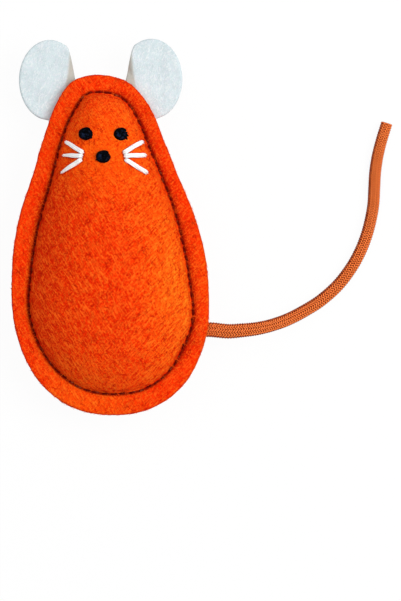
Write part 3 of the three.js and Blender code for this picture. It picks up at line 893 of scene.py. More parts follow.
class Outline:
    """Stations round the raw edge, as many down each side, each with the way in and its ridge point."""

    def __init__(self, count):
        curves, samples = 3, 3001
        fine = np.linspace(0, curves, samples)
        steps = [np.linalg.norm(np.diff(outline_side(side, fine), axis=0), axis=1) for side in (1, -1)]
        along = np.concatenate([[0], np.cumsum(sum(steps) / 2)])
        places = np.interp(np.linspace(0, along[-1], count // 2 + 1), along, fine)
        sides = {side: outline_side(side, places) for side in (1, -1)}
        swell = (1, JOINTS["tail_swing"]["pos_m"][1], TAIL_SWELL_REACH, (TAIL_SWELL, 0))
        for side, level, reach, shift in (*EDGE_EASE, swell):
            near = np.exp(-(((sides[side][:, 1] - level) / reach) ** 2))
            sides[side] += near[:, None] * np.array(shift)
        right, left = sides[1], sides[-1]
        self.edge = np.concatenate([right, left[-2:0:-1]])
        self.wander = self.even_wander(count, len(right))
        run = np.roll(self.edge, -1, axis=0) - np.roll(self.edge, 1, axis=0)
        self.inward = unit(np.stack([run[:, 1], -run[:, 0]], axis=1))
        level = np.clip(self.edge[:, 1], BELLY_LEVEL, CHEEK_LEVEL)
        self.share = (CHEEK_LEVEL - level) / (CHEEK_LEVEL - BELLY_LEVEL)
        self.ridge = np.stack([HEAD_LEAN * (self.share - 1), level], axis=1)

    def even_wander(self, count, right_count):
        """The seam's wander at each station, eased over the stations beside it."""
        sides = np.where(np.arange(count) < right_count, 1, -1)
        wander = np.zeros(count)
        for side, places in SEAM_WANDER.items():
            levels, shifts = zip(*places)
            wander[sides == side] = np.interp(self.edge[sides == side, 1], levels, shifts)
        stretches = 40
        window = count // stretches
        return sum(np.roll(wander, shift) for shift in range(-window, window + 1)) / (2 * window + 1)

    def inset(self, distance, allowance):
        """Points at a distance in from the raw edge. The seam drifts and wanders off the even inset."""
        share = min(distance / allowance, 1)
        distances = distance + share * self.wander[:, None]
        return self.edge + self.inward * distances + share * np.array(SEAM_DRIFT)


def ear_frame(name):
    """The hinge of an ear: its middle on the table's plane, the way along it and the way out from it."""
    joint = JOINTS[f"{name}_ear_flap"]
    across = np.array(joint["axis"][:2])
    return np.array(joint["pos_m"][:2]), across, np.array((-across[1], across[0]))


def flange_lift(points, inset):
    """How far a flange is pressed off the seam's plane where the ears and the tail pass under it."""
    scene = bpy.context.scene
    ear, tail = scene.mouse_ears, scene.mouse_tail
    slack, fade, ear_reach, ear_range = 0.00008, 0.0028, 0.0075, 0.0225
    pressed_to, flat_from = 0.0075, 0.0115
    lift = np.zeros(len(points))
    for name in SIDES:
        middle, across, _ = ear_frame(name)
        along = np.abs((points - middle) @ across)
        near = 1 - smooth_step(ear_reach, ear_reach + fade, along)
        inside = np.linalg.norm(points - middle, axis=1) < ear_range
        lift = np.maximum(lift, near * inside * (ear.thickness / 2 - HALF_GAP + slack))
    hinge = np.array(JOINTS["tail_swing"]["pos_m"][:2])
    beside = np.abs(points[:, 1] - hinge[1])
    near = 1 - smooth_step(tail.root_width / 2, tail.root_width / 2 + fade, beside)
    inside = points[:, 0] > 0
    lift = np.maximum(lift, near * inside * (tail.root_thickness / 2 - HALF_GAP + slack))
    return lift * (1 - smooth_step(pressed_to, flat_from, inset))


class FeltPanel:
    """The rings of one panel: its outer skin from the raw edge to the ridge, and its inner skin."""

    def __init__(self, body, way, outline, fullness):
        self.body = body
        self.way = way
        self.outline = outline
        self.head = body.front_head if way > 0 else body.back_head
        front, back = FRONT_HIGH.z - SEAM_LEVEL, SEAM_LEVEL - BACK_LOW.z + REST_FLAT_DEPTH
        self.belly = front if way > 0 else back
        self.fullness = fullness
        self.foot = body.seam_allowance + body.groove_width / 2
        self.top = HALF_GAP + body.felt_thickness
        self.groove = self.groove_depths()
        self.floor = self.top - self.groove

    def groove_depths(self):
        """Depth of the seam's groove at each station: half as deep round the rump and the crown's left."""
        most_lost, most_spared = 0.5, 0.6
        across, level = self.outline.edge.T
        crown = smooth_step(*GROOVE_CROWN, level) * (1 - most_spared * smooth_step(*GROOVE_RIGHT, across))
        rump = smooth_step(*GROOVE_RUMP, level)
        return self.body.groove_depth * (1 - most_lost * np.maximum(crown, rump))

    def flat_ring(self, inset, height):
        """A ring at an inset from the raw edge."""
        points = self.outline.inset(inset, self.body.seam_allowance)
        return self.raised(points, np.full(len(points), inset), height)

    def dome_ring(self, share, foot, base, depth):
        """A ring at a share of the way from the dome's foot to its ridge, at a depth under the skin."""
        start = self.outline.inset(foot, self.body.seam_allowance)
        points = start + (self.outline.ridge - start) * share
        blend = smooth_step(0, 1, self.outline.share)
        ridge = self.head + (self.belly - self.head) * blend - depth
        crown = (1 - (1 - share) ** RIDGE_FLATNESS) ** (1 / FOOT_STEEPNESS)
        inset = foot + np.linalg.norm(points - start, axis=1)
        return self.raised(points, inset, base + (ridge * self.fullness - base) * crown)

    def raised(self, points, inset, height):
        """Points at a height over the seam's plane, and over what passes between the flanges."""
        level = SEAM_LEVEL + self.way * (height + flange_lift(points, inset))
        return np.column_stack([points, level])

    def groove_height(self, inset):
        """Height of the flange, which rolls over from its raw edge down into the seam's groove."""
        puff_end, roll_start, roll_end = 0.75, 0.72, 0.98
        share = inset / self.body.seam_allowance
        puff = math.sin(math.pi * min(share / puff_end, 1)) * self.body.flange_puff
        return self.top + puff - self.groove * smooth_step(roll_start, roll_end, share)

    def outer(self, wall=4, corner=4, flange=11, groove=8, dome=46):
        """Rings of the outer skin from the raw edge's foot over the flange and the groove to the ridge."""
        body = self.body
        radius = body.edge_rounding
        rings = [self.flat_ring(0, height) for height in np.linspace(HALF_GAP, self.top - radius, wall)]
        for turn in np.linspace(0, math.pi / 2, corner + 1)[1:]:
            inset = radius * (1 - math.cos(turn))
            rings.append(self.flat_ring(inset, self.top - radius + radius * math.sin(turn)))
        start = body.seam_allowance - body.groove_width
        insets = [*np.linspace(radius, start, flange)[1:], *np.linspace(start, self.foot, groove + 1)[1:]]
        rings.extend(self.flat_ring(inset, self.groove_height(inset)) for inset in insets)
        shares = np.linspace(0, 1, dome + 1)[1:] ** RING_CROWDING
        rings.extend(self.dome_ring(share, self.foot, self.floor, 0) for share in shares)
        return np.stack(rings)

    def from_seam(self, rings):
        """How far points are from the seam, seen from above, and whether they are on its inner side."""
        edge = self.outline.edge
        seam = self.outline.inset(self.body.seam_allowance, self.body.seam_allowance)
        gaps = np.linalg.norm(rings[..., :2] - seam, axis=2)
        insets = np.linalg.norm(rings[..., :2] - edge, axis=2)
        return gaps, insets > np.linalg.norm(seam - edge, axis=1)

    def seam_share(self, rings):
        """1 at the seam, falling to 0 over the flange beside it and, much sooner, up the dome."""
        reach, dome_haste = 0.0026, 2.6
        gaps, on_dome = self.from_seam(rings)
        return np.clip(1 - gaps * np.where(on_dome, dome_haste, 1) / reach, 0, 1)

    def flange_painted_shade(self, rings):
        """Painted shade on the flange towards the seam: from far out on the right and beside the left flank.

        Elsewhere on the left it lies close to the seam, and round the crown and rump there is hardly any."""
        least_reach, flank_reach, right_reach = 0.0016, 0.0022, 0.0026
        crown_loss, rump_loss = 0.85, 0.8
        gaps, on_dome = self.from_seam(rings)
        across, level = self.outline.edge.T
        right = smooth_step(*SHADE_RIGHT, across)
        flank = smooth_step(*SHADE_FLANK_FOOT, level) * (1 - smooth_step(*SHADE_FLANK_TOP, level))
        reach = least_reach + flank_reach * (1 - right) * flank + right_reach * right
        crown = crown_loss * (1 - right) * smooth_step(*SHADE_CROWN, level)
        rump = rump_loss * smooth_step(*SHADE_RUMP, level)
        return np.where(on_dome, 0, (1 - np.maximum(crown, rump)) * np.clip(1 - gaps / reach, 0, 1))

    def painted_edge_shade(self, rings, wall=4, wall_share=0.4, corner=(1, 1, 0.7, 0.2)):
        """How much painted shade the raw edge takes at each ring: the cut wall a little, its upper corner
        most.
        """
        shares = np.zeros(len(rings))
        shares[:wall] = wall_share
        shares[wall:wall + len(corner)] = corner
        return np.repeat(shares, rings.shape[1])

    def inner(self, dome=12, floor=8):
        """Rings of the inner skin from its ridge down and out to the raw edge."""
        thickness = self.body.felt_thickness
        foot = self.foot + thickness
        shares = np.linspace(0, 1, dome + 1)[::-1] ** RING_CROWDING
        rings = [self.dome_ring(share, foot, HALF_GAP, thickness) for share in shares]
        rings.extend(self.flat_ring(inset, HALF_GAP) for inset in np.linspace(foot, 0, floor + 1)[1:-1])
        return np.stack(rings)


def ring_faces(rings, around, start=0, close=None):
    """Quads between rings of vertices, and from the last of them to the ring that starts at close."""
    here = np.arange(around)
    after = (here + 1) % around
    starts = [start + ring * around for ring in range(rings)] + ([] if close is None else [close])
    return [
        quad
        for low, high in zip(starts, starts[1:])
        for quad in np.stack([low + here, low + after, high + after, high + here], axis=1).tolist()
    ]


def grid_normals(rings, way):
    """Normals of a skin of rings, pointing up (1) or down (-1) along its ridge."""
    least_size = 1e-13
    around = np.roll(rings, -1, axis=1) - np.roll(rings, 1, axis=1)
    inward = np.gradient(rings, axis=0)
    normals = np.cross(inward, around)
    flat = np.linalg.norm(normals, axis=2) < least_size
    normals = unit(normals)
    normals[flat] = way * UP
    normals[-1] = way * UP
    return normals if (normals[-2, :, 2] * way).mean() > 0 else -normals


def swollen_bag(body):
    """Swells a coarse bag of both panels with the stuffing's pressure.

    Returns the bag's points at the start and how far each moved. The flange stays as it was sewn."""
    stations, voxel, most, last_frame = 120, 0.0021, 0.002, 20
    held_to, free_from, least_move = 0.0066, 0.0095, 1e-9
    outline = Outline(stations)
    ring_counts = {"wall": 2, "corner": 1, "flange": 3, "groove": 3, "dome": 14}
    skins = [FeltPanel(body, way, outline, SLACK).outer(**ring_counts) for way in PANELS.values()]
    rings, around = skins[0].shape[:2]
    faces = ring_faces(rings, around) + ring_faces(rings, around, start=rings * around)
    faces += ring_faces(1, around, close=rings * around)
    vertices = np.concatenate([skin.reshape(-1, 3) for skin in skins])
    coarse = make_solid(new_object("bag", None, vertices, faces))
    bag = linked("even_bag", even_mesh(coarse, voxel))
    bpy.data.objects.remove(coarse)
    rest = mesh_points(bag.data)
    gaps = np.linalg.norm(rest[:, None, :2] - outline.edge[None], axis=2).min(axis=1)
    group = bag.vertex_groups.new(name="held")
    for index, weight in enumerate(1 - smooth_step(held_to, free_from, gaps)):
        group.add([index], float(weight), "REPLACE")
    cloth = bag.modifiers.new("Cloth", "CLOTH")
    cloth.settings.vertex_group_mass = group.name
    for setting, value in BAG_CLOTH.items():
        setattr(cloth.settings, setting, value)
    cloth.settings.effector_weights.gravity = 0
    scene = bpy.context.scene
    for number in range(1, last_frame + 1):
        scene.frame_set(number)
    swollen = shaped_mesh(bag)
    moved = mesh_points(swollen) - rest
    bpy.data.objects.remove(bag)
    bpy.data.meshes.remove(swollen)
    scene.frame_set(1)
    size = np.linalg.norm(moved, axis=1, keepdims=True)
    print(f"bag: {len(rest)} points, moved {size.mean() * 1000:.2f} mm, at most {size.max() * 1000:.2f} mm")
    return rest, moved * np.minimum(1, most / np.maximum(size, least_move))


def carried_along(points, rest, moved):
    """How far each point moves with the nearest points of the bag."""
    neighbours, softness = 6, 1e-4
    tree = KDTree(len(rest))
    for index, point in enumerate(rest):
        tree.insert(point, index)
    tree.balance()
    shift = np.empty_like(points)
    for index, point in enumerate(points):
        near = tree.find_n(point, neighbours)
        weights = np.array([1 / (far + softness) ** 2 for _, _, far in near])
        shift[index] = weights @ moved[[number for _, number, _ in near]] / weights.sum()
    return shift


def felt_panel(name, way, body, bag, material):
    """One panel as a closed felt shell, swollen with the bag and uneven as felt is."""
    stations = 640
    panel = FeltPanel(body, way, Outline(stations), 1.0 if bag is None else SLACK)
    outer, inner = panel.outer(), panel.inner()
    if bag is not None:
        outer += carried_along(outer.reshape(-1, 3), *bag).reshape(outer.shape)
        inner += carried_along(inner.reshape(-1, 3), *bag).reshape(inner.shape)
    rough = unevenness(outer, PANEL_WAVES, seeds=(3 * way, 7 * way))
    normals = grid_normals(outer, way)
    outer += normals * rough.reshape(outer.shape[:2])[..., None]
    vertices = np.concatenate([outer.reshape(-1, 3), inner.reshape(-1, 3)])
    vertices[:, 2] = np.maximum(vertices[:, 2], BACK_LOW.z)
    faces = ring_faces(len(outer), stations)
    faces += ring_faces(len(inner), stations, start=len(outer) * stations, close=0)
    made = new_object(name, material, vertices, faces)
    # What the felt's material reads: the lean of the skin, and where it takes painted shade along the seam,
    # on the flange and on the raw edge
    shares = {
        "lean": normals[..., 0], "seam": panel.seam_share(outer), "shade": panel.flange_painted_shade(outer),
        "edge": panel.painted_edge_shade(outer),
    }
    hidden = np.zeros(inner.shape[0] * stations)
    for share, values in shares.items():
        paint(made, f"felt_{share}", np.concatenate([values.ravel(), hidden]))
    return make_solid(made)


def surface_tree(made):
    """A tree that finds places on an object's surface."""
    return BVHTree.FromObject(made, bpy.context.evaluated_depsgraph_get())


def on_surface(tree, points, way):
    """Where plumb lines through points meet a skin from above (1) or below (-1), and the normals there."""
    far = way * 0.1
    hits = [tree.ray_cast(Vector((x, y, far)), Vector((0, 0, -way)))[:2] for x, y in points]
    return np.array([place for place, _ in hits]), np.array([normal for _, normal in hits])


class MOUSE_OT_panels(bpy.types.Operator):
    """Builds the two stuffed felt panels."""

    bl_idname = "mouse.panels"
    bl_label = "Felt panels"

    def execute(self, context):
        body = context.scene.mouse_body
        bag = swollen_bag(body)
        material = felt_finish(body)
        for name, way in PANELS.items():
            made = felt_panel(f"{name}_felt", way, body, bag, material)
            finish_piece(made, "orange_felt", f"{name}_panel")
        return {"FINISHED"}


def stitch_paths(body, tree, way):
    """Paths of the seam's stitches: each lies in the groove and dips into the felt at both ends."""
    shifts, lengths, stray = (-0.06, 0.06), (0.93, 1.07), 0.00009
    slant, slant_spread = 0.1, 0.05
    stand, dip, dip_power = 0.42, 1.5, 5
    stations, steps = 2400, 11
    draw = np.random.default_rng(11 if way > 0 else 12)
    seam = Outline(stations).inset(body.seam_allowance, body.seam_allowance)
    loop = np.concatenate([seam, seam[:1]])
    along = distances_along(loop)
    count = round(along[-1] / body.stitch_pitch)
    share = np.linspace(-0.5, 0.5, steps)
    paths = []
    for number in range(count):
        middle = (number + 0.5 + draw.uniform(*shifts)) * along[-1] / count
        reach = body.stitch_length * draw.uniform(*lengths)
        places = (middle + share * reach) % along[-1]
        points = np.stack([np.interp(places, along, loop[:, axis]) for axis in (0, 1)], axis=1)
        run = points[-1] - points[0]
        aside = np.array((-run[1], run[0])) / np.linalg.norm(run)
        tilt = draw.normal(slant, slant_spread) * reach
        points += aside * (share * tilt + draw.normal(0, stray))[:, None]
        ground, _ = on_surface(tree, points, way)
        rise = body.thread_diameter * (stand - dip * np.abs(2 * share) ** dip_power)
        level = way * np.median(way * ground[:, 2])
        ground[:, 2] = (ground[:, 2] + level) / 2 + way * rise
        paths.append(ground)
    return np.stack(paths)


class MOUSE_OT_stitches(bpy.types.Operator):
    """Sews the seam: a row of single stitches on each panel."""

    bl_idname = "mouse.stitches"
    bl_label = "Seam stitches"

    def execute(self, context):
        body = context.scene.mouse_body
        caught = (0.34, 0.07, 0.025)
        dull = {"Specular IOR Level": 0.04}
        ply_count, ply_turn, ply_sides, columns = 2, 0.0016, 6, 6
        material = thread_finish("seam_thread", body.thread, caught, dull, low=0.52, high=0.7)
        for name, way in PANELS.items():
            tree = surface_tree(bpy.data.objects[f"{name}_felt"])
            paths = stitch_paths(body, tree, way)
            strands, radius = plies(paths, body.thread_diameter / 2, ply_count, ply_turn)
            parts = sweep(strands, radius, radius, ply_sides, columns)
            made = new_object(f"{name}_stitches", material, *parts)
            finish_piece(made, "seam_thread", f"{name}_seam_thread")
        return {"FINISHED"}


def fibre_paths(made, tree, count, draw):
    """Paths of loose fibres: each lies on the felt in a slight curve and lifts at one end."""
    least_facing, bend_spread, lengths, lifts = 0.05, 0.7, (0.0014, 0.0042), (0.00005, 0.0004)
    clear_of_felt, clear_of_floor, lift_power, fibre_steps = 0.00004, 0.0001, 3, 6
    mesh = made.data
    areas = np.array([face.area for face in mesh.polygons])
    centres = np.array([face.center for face in mesh.polygons])
    facing = np.array([face.normal for face in mesh.polygons])
    side = np.sign(centres[:, 2].mean() - SEAM_LEVEL)
    areas[facing[:, 2] * side < least_facing] = 0
    picked = draw.choice(len(areas), count, p=areas / areas.sum())
    share = np.linspace(0, 1, fibre_steps)
    paths = np.empty((count, len(share), 3))
    for number, index in enumerate(picked):
        heading = draw.uniform(0, 2 * math.pi)
        bend = draw.normal(0, bend_spread)
        reach = draw.uniform(*lengths)
        turn = heading + bend * share
        steps = np.column_stack([np.cos(turn), np.sin(turn), np.zeros(len(share))]) * reach / len(share)
        points = centres[index] + np.cumsum(steps, axis=0) - steps[0]
        lift = draw.uniform(*lifts)
        for step, point in enumerate(points):
            near, slope, _, _ = tree.find_nearest(Vector(point))
            rise = clear_of_felt + lift * share[step] ** lift_power
            paths[number, step] = np.array(near) + np.array(slope) * rise
    paths[..., 2] = np.maximum(paths[..., 2], clear_of_floor)
    return paths


class MOUSE_OT_fibres(bpy.types.Operator):
    """Pulls loose wool fibres out of the felt panels."""

    bl_idname = "mouse.fibres"
    bl_label = "Loose fibres"

    def execute(self, context):
        body = context.scene.mouse_body
        material = loose_fibre_finish(body)
        radii, tip_share = (0.00005, 0.00008), 0.5
        for name, share, seed in (("front", 1.0, 21), ("back", 0.6, 22)):
            draw = np.random.default_rng(seed)
            felt = bpy.data.objects[f"{name}_felt"]
            count = round(body.fibre_count * share)
            paths = fibre_paths(felt, surface_tree(felt), count, draw)
            radius = draw.uniform(*radii, (count, 1)) * np.linspace(1, tip_share, paths.shape[1])[None]
            parts = sweep(paths, radius, radius, sides=3, columns=math.ceil(math.sqrt(count)))
            made = new_object(f"{name}_fibres", material, *parts)
            finish_piece(made, "orange_felt")
        return {"FINISHED"}


# Ears


def ear_outline(ear, name, side, count):
    """The flat cut of an ear, and the oval's middle.

    Seen from above, the inner side leaves the oval near its top, runs down to the flange and lies along it
    as far as the crease. The cut is that view with the fold laid flat, and a tab that goes into the seam."""
    oval_start, oval_end, oval_step, rounding = 58, 260, 0.5, 4
    hinge, across, out = ear_frame(name)
    middle = hinge + (side * ear.out, ear.up)
    turn = np.radians(np.arange(oval_start, oval_end, oval_step))
    oval = np.stack([np.cos(turn) * ear.width / 2, np.sin(turn) * ear.height / 2], axis=1)
    oval = oval[(placed(oval, side, middle) - hinge) @ out > 0]
    inner_side = smooth_line(np.array(EAR_INNER_SIDE), steps=8)
    beyond = past_crease(ear, inner_side)
    opened = laid_flat(ear, beyond, fold_limit(ear, inner_side[:, 1])) - beyond
    inner_side = inner_side + opened[:, None] * CREASE_NORMAL
    line = placed(np.concatenate([oval[::-1], inner_side]), side, middle)
    ends = [(point - hinge) @ across for point in (line[-1], line[0])]
    taper = math.copysign(ear.taper, ends[1] - ends[0])
    tab = [hinge + across * end - out * ear.tuck for end in (ends[0] + taper, ends[1] - taper)]
    line = spaced(np.concatenate([line, tab, line[:1]]), count + 1)[:-1]
    for _ in range(rounding):
        line = (np.roll(line, 1, axis=0) + 2 * line + np.roll(line, -1, axis=0)) / 4
    return line, middle


def placed(points, side, middle):
    """Places on the table of points that are given inwards and upwards from an oval's middle."""
    return middle + points * (-side, 1)


def past_crease(ear, points):
    """How far points, given inwards and upwards from the oval's middle, lie beyond the crease."""
    return np.maximum((points - (ear.crease, 0)) @ CREASE_NORMAL, 0)


def fold_limit(ear, up):
    """How far the inner side folds at a height over the oval's middle: not at all in the seam."""
    return ear.fold_angle * smooth_step(*FOLD_RISE, up)


def laid_flat(ear, beyond, most):
    """How far past the crease a point is on the flat cut, from how far past it the folded ear shows it."""
    bend_reach = ear.fold_radius * np.sin(most)
    bent = ear.fold_radius * np.arcsin(np.minimum(beyond / ear.fold_radius, 1))
    return np.where(beyond < bend_reach, bent, ear.fold_radius * most + (beyond - bend_reach) / np.cos(most))


def folded(ear, side, middle, flat):
    """Where the flat cut's points come to lie: the inner side folds down at its crease, not in the seam."""
    cup, most_rim = 0.0006, 1.2
    points = (flat - middle) * (-side, 1)
    up = points[..., 1]
    beyond = past_crease(ear, points)
    most = fold_limit(ear, up)
    angle = np.minimum(beyond / ear.fold_radius, most)
    straight = np.maximum(beyond - ear.fold_radius * most, 0)
    shift = ear.fold_radius * np.sin(angle) + straight * np.cos(most) - beyond
    drop = ear.fold_radius * (1 - np.cos(angle)) + straight * np.sin(most)
    rim = (points[..., 0] / (ear.width / 2)) ** 2 + (up / (ear.height / 2)) ** 2
    rise = cup * smooth_step(0, ear.height / 2, up + ear.height / 4) * np.minimum(rim, most_rim)
    moved = placed(points + shift[..., None] * CREASE_NORMAL, side, middle)
    return np.concatenate([moved, (SEAM_LEVEL + rise - drop)[..., None]], axis=-1)


def ear_mesh(ear, name, side, material):
    """One ear as a closed felt sheet with a rounded rim."""
    stations, rings, crowding = 260, 44, 1.25
    rim_width, fold_edge = 0.0007, (0.0001, 0.0009)
    line, middle = ear_outline(ear, name, side, stations)
    shares = 1 - np.linspace(1, 0, rings) ** crowding
    flat = middle + (line - middle)[None] * shares[:, None, None]
    flat[0] = middle
    probe = 1e-5
    here = folded(ear, side, middle, flat)
    slope_x = folded(ear, side, middle, flat + (probe, 0)) - here
    slope_y = folded(ear, side, middle, flat + (0, probe)) - here
    normals = unit(np.cross(slope_x, slope_y))
    radius = np.linalg.norm(line - middle, axis=1)
    to_rim = (1 - shares)[:, None] * radius[None]
    half = ear.thickness / 2
    depth = half * np.sqrt(1 - (1 - np.minimum(to_rim / half, 1)) ** 2)
    skins = []
    for way, seed in ((1, 31), (-1, 32)):
        rough = unevenness(here, EAR_WAVES, seeds=(seed, seed + 5))
        height = way * (depth + rough.reshape(depth.shape) * depth / half)
        skins.append(here + normals * height[..., None])
    vertices = np.concatenate([skins[0].reshape(-1, 3), skins[1][::-1].reshape(-1, 3)])
    faces = ring_faces(2 * rings, stations)
    made = new_object(f"{name}_ear_felt", material, vertices, faces)
    rim = 1 - smooth_step(0, rim_width, to_rim)
    paint(made, "ear_rim", np.concatenate([rim.ravel(), rim[::-1].ravel()]))
    fold = smooth_step(*fold_edge, past_crease(ear, (flat - middle) * (-side, 1)))
    paint(made, "ear_fold", np.concatenate([fold.ravel(), np.zeros(fold.size)]))
    make_solid(made, merge_distance=1e-7)
    x, y = line.T
    area = abs(np.sum(x * np.roll(y, -1) - y * np.roll(x, -1))) / 2
    return made, line, area


class MOUSE_OT_ears(bpy.types.Operator):
    """Cuts, folds and seats the two felt ears."""

    bl_idname = "mouse.ears"
    bl_label = "Ears"

    def execute(self, context):
        ear = context.scene.mouse_ears
        material = ear_finish(ear)
        for name, side in SIDES.items():
            made, line, area = ear_mesh(ear, name, side, material)
            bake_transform(made)
            finish_piece(made, "ear_felt", f"{name}_ear", f"{name}_ear_root", body=None)
        return {"FINISHED"}


# Face


def knot_parts(face, place, normal, wide, high, ticks):
    """A knot of wound thread over a padded middle, with short ticks of thread at its rim."""
    across = unit(np.array((1.0, 0, 0)) - normal * normal[0])
    upward = np.cross(normal, across)
    thread = face.knot_thread

    def lifted(turn, share, height):
        """Points at a turn round the knot, a share of the way out to its rim and a height off the felt."""
        rim = np.cos(turn)[:, None] * across * wide / 2 + np.sin(turn)[:, None] * upward * high / 2
        return place + rim * np.asarray(share)[:, None] + normal * np.asarray(height)[:, None]

    turns, first_turn, last_share, lobes, lobe_depth = 2.2, 0.8, 0.1, 5, 0.03
    sink, sink_start, foot, coil_slack = 0.0004, 0.75, thread * 0.2, thread * 0.7
    coil_steps, coil_sides = 90, 10
    along = np.linspace(0, 1, coil_steps)
    turn = 2 * math.pi * turns * along + first_turn
    share = (1 - thread / wide) * (1 - along) + last_share * along
    height = foot + (face.knot_height - coil_slack) * np.sqrt(np.maximum(1 - share**2, 0))
    height -= sink * np.maximum(along - sink_start, 0) / (1 - sink_start)
    coil = lifted(turn, share * (1 + lobe_depth * np.cos(lobes * turn)), height)[None]

    tick_start, tick_length, tick_radius = 0.72, 0.32, thread * 0.24
    tick_rise, tick_drop, tick_steps, tick_sides = thread * 0.55, thread * 0.9, 6, 6
    reach = np.linspace(0, 1, tick_steps)
    tick_paths = []
    for angle, longer in ticks:
        share = tick_start + (tick_length + longer) * reach
        tick_paths.append(lifted(np.full(len(reach), angle), share, tick_rise - tick_drop * reach**2))

    rings, around, pad_edge, pad_top, pad_slack = 9, 28, 0.9, 0.02, thread * 0.9
    map_middle, map_radius = 0.5, 0.4
    turn = np.linspace(0, 2 * math.pi, around, endpoint=False)
    pad = [lifted(turn, np.full(around, pad_edge), np.full(around, -sink))]
    for share in np.linspace(pad_edge, pad_top, rings):
        crown = (face.knot_height - pad_slack) * math.sqrt(1 - share**2)
        pad.append(lifted(turn, np.full(around, share), np.full(around, crown)))
    faces = ring_faces(len(pad), around)
    faces += [list(reversed(range(around))), [rings * around + k for k in range(around)]]
    corners = np.array([corner for shape in faces for corner in range(len(shape))])
    places = map_middle + map_radius * np.stack([np.cos(corners), np.sin(corners)], axis=1)
    return joined(
        sweep(coil, thread / 2, thread / 2, coil_sides),
        sweep(np.stack(tick_paths), tick_radius, tick_radius, tick_sides, columns=2),
        (np.concatenate(pad), faces, places),
    )


class MOUSE_OT_knots(bpy.types.Operator):
    """Embroiders the eyes and the nose as knots of wound thread."""

    bl_idname = "mouse.knots"
    bl_label = "Eyes and nose"

    def execute(self, context):
        face = context.scene.mouse_face
        material = knot_finish(face)
        tree = surface_tree(bpy.data.objects["front_felt"])
        lean_share = 0.45
        reach, rise = EYE_PLACE
        eye = (face.eye_width, face.eye_height)

        # Each knot's place, width and height, and its ticks: the way that each points and its extra length
        knots = {
            "left_eye": ((-reach, rise), *eye, ((2.4, -0.06), (5.6, -0.08))),
            "right_eye": ((reach, rise), *eye, ((0.55, 0.14), (0.05, 0.12), (-0.5, 0.08))),
            "nose": ((0, 0), face.nose_width, face.nose_height, ((0.9, -0.04), (3.6, -0.06))),
        }
        for node, (offset, wide, high, ticks) in knots.items():
            middle = nose_place() + offset
            _, normals = on_surface(tree, [middle], 1)
            under = middle - normals[0, :2] * face.knot_height * lean_share
            place, normal = (found[0] for found in on_surface(tree, [under], 1))
            parts = knot_parts(face, place, normal, wide, high, ticks)
            made = new_object(f"{node}_knot", material, *parts)
            off = (mesh_points(made.data) - place)[:, :2] / (wide / 2, high / 2)
            paint(made, "knot_middle", 1 - np.linalg.norm(off, axis=1))
            finish_piece(made, "black_thread", node)
        return {"FINISHED"}


def nose_place():
    """The middle of the nose on the table's plane."""
    low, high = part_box("nose")
    return np.array(((low + high) / 2).xy)


def whisker_path(face, tree, side, level):
    """A straight stitch from a whisker's outer end to its inner one, drawn over the dome."""
    stand, dip, dip_power, least_slope, steps = 0.75, 1.4, 26, 0.4, 25
    outer, inner = (nose_place() + np.array(end) * (side, 1) for end in WHISKERS[level])
    share = np.linspace(0, 1, steps)
    points = outer + (inner - outer) * share[:, None]
    ground, normals = on_surface(tree, points, 1)
    rise = face.whisker_diameter / 2 * (stand - dip * np.abs(2 * share - 1) ** dip_power)
    return ground + UP * (rise / np.maximum(normals[:, 2], least_slope))[:, None]


class MOUSE_OT_whiskers(bpy.types.Operator):
    """Embroiders the six whiskers as straight stitches of floss."""

    bl_idname = "mouse.whiskers"
    bl_label = "Whiskers"

    def execute(self, context):
        face = context.scene.mouse_face
        ply_count, ply_turn, ply_sides, taper_share = 5, 0.03, 8, 0.6
        shaded_share = 0.95
        shaded = tuple(shaded_share * part for part in face.white)
        material = thread_finish("white_thread", face.white, shaded, {"Specular IOR Level": 0.25})
        tree = surface_tree(bpy.data.objects["front_felt"])
        for name, side in SIDES.items():
            for level in WHISKERS:
                node = f"{name}_{level}_whisker"
                path = whisker_path(face, tree, side, level)[None]
                point = LEFT_POINTS[level] if side < 0 else 1.0
                taper = point + (1 - point) * smooth_step(0, taper_share, np.linspace(0, 1, path.shape[1]))
                strands, radius = plies(path, face.whisker_diameter / 2 * taper, ply_count, ply_turn)
                made = new_object(f"{node}_floss", material, *sweep(strands, radius, radius, ply_sides))
                finish_piece(made, "white_thread", node)
        return {"FINISHED"}


# Tail


def tail_line(tail):
    """The middle of the tail's cord, from its sewn end to its cut end, and where it leaves the felt."""
    edge_setback, tucked_shares, curve_steps = 0.0009, (0, 0.35, 0.7, 1), 12
    hinge = np.array(JOINTS["tail_swing"]["pos_m"])
    floor = tail.diameter / 2 + TAIL_FLOOR_GAP
    route = [
        (hinge[0] + x, hinge[1] + y, floor + (SEAM_LEVEL - floor) * share) for x, y, share in TAIL_ROUTE
    ]
    edge = FRONT_HIGH.x - edge_setback
    start = [(edge - tail.tuck * (1 - share), hinge[1], SEAM_LEVEL) for share in tucked_shares]
    return smooth_line(np.array(start + route), curve_steps), edge


def cord_shape(tail, along, leaves):
    """Height and width of the cord along it, as shares of its diameter: flat in the seam, then round."""
    flat_end, round_start = 0.002, 0.024
    round_share = smooth_step(leaves + flat_end, leaves + round_start, along)

    # Shares that the cord thins by, and how far from its cut end each thinning starts and ends
    thinning = ((0.04, 0.06, 0.035), (0.05, 0.02, 0))
    to_go = along[-1] - along
    slim = 1 - sum(share * (1 - smooth_step(end, start, to_go)) for share, start, end in thinning)
    return [
        (flat / tail.diameter + (1 - flat / tail.diameter) * round_share) * slim
        for flat in (tail.root_thickness, tail.root_width)
    ]


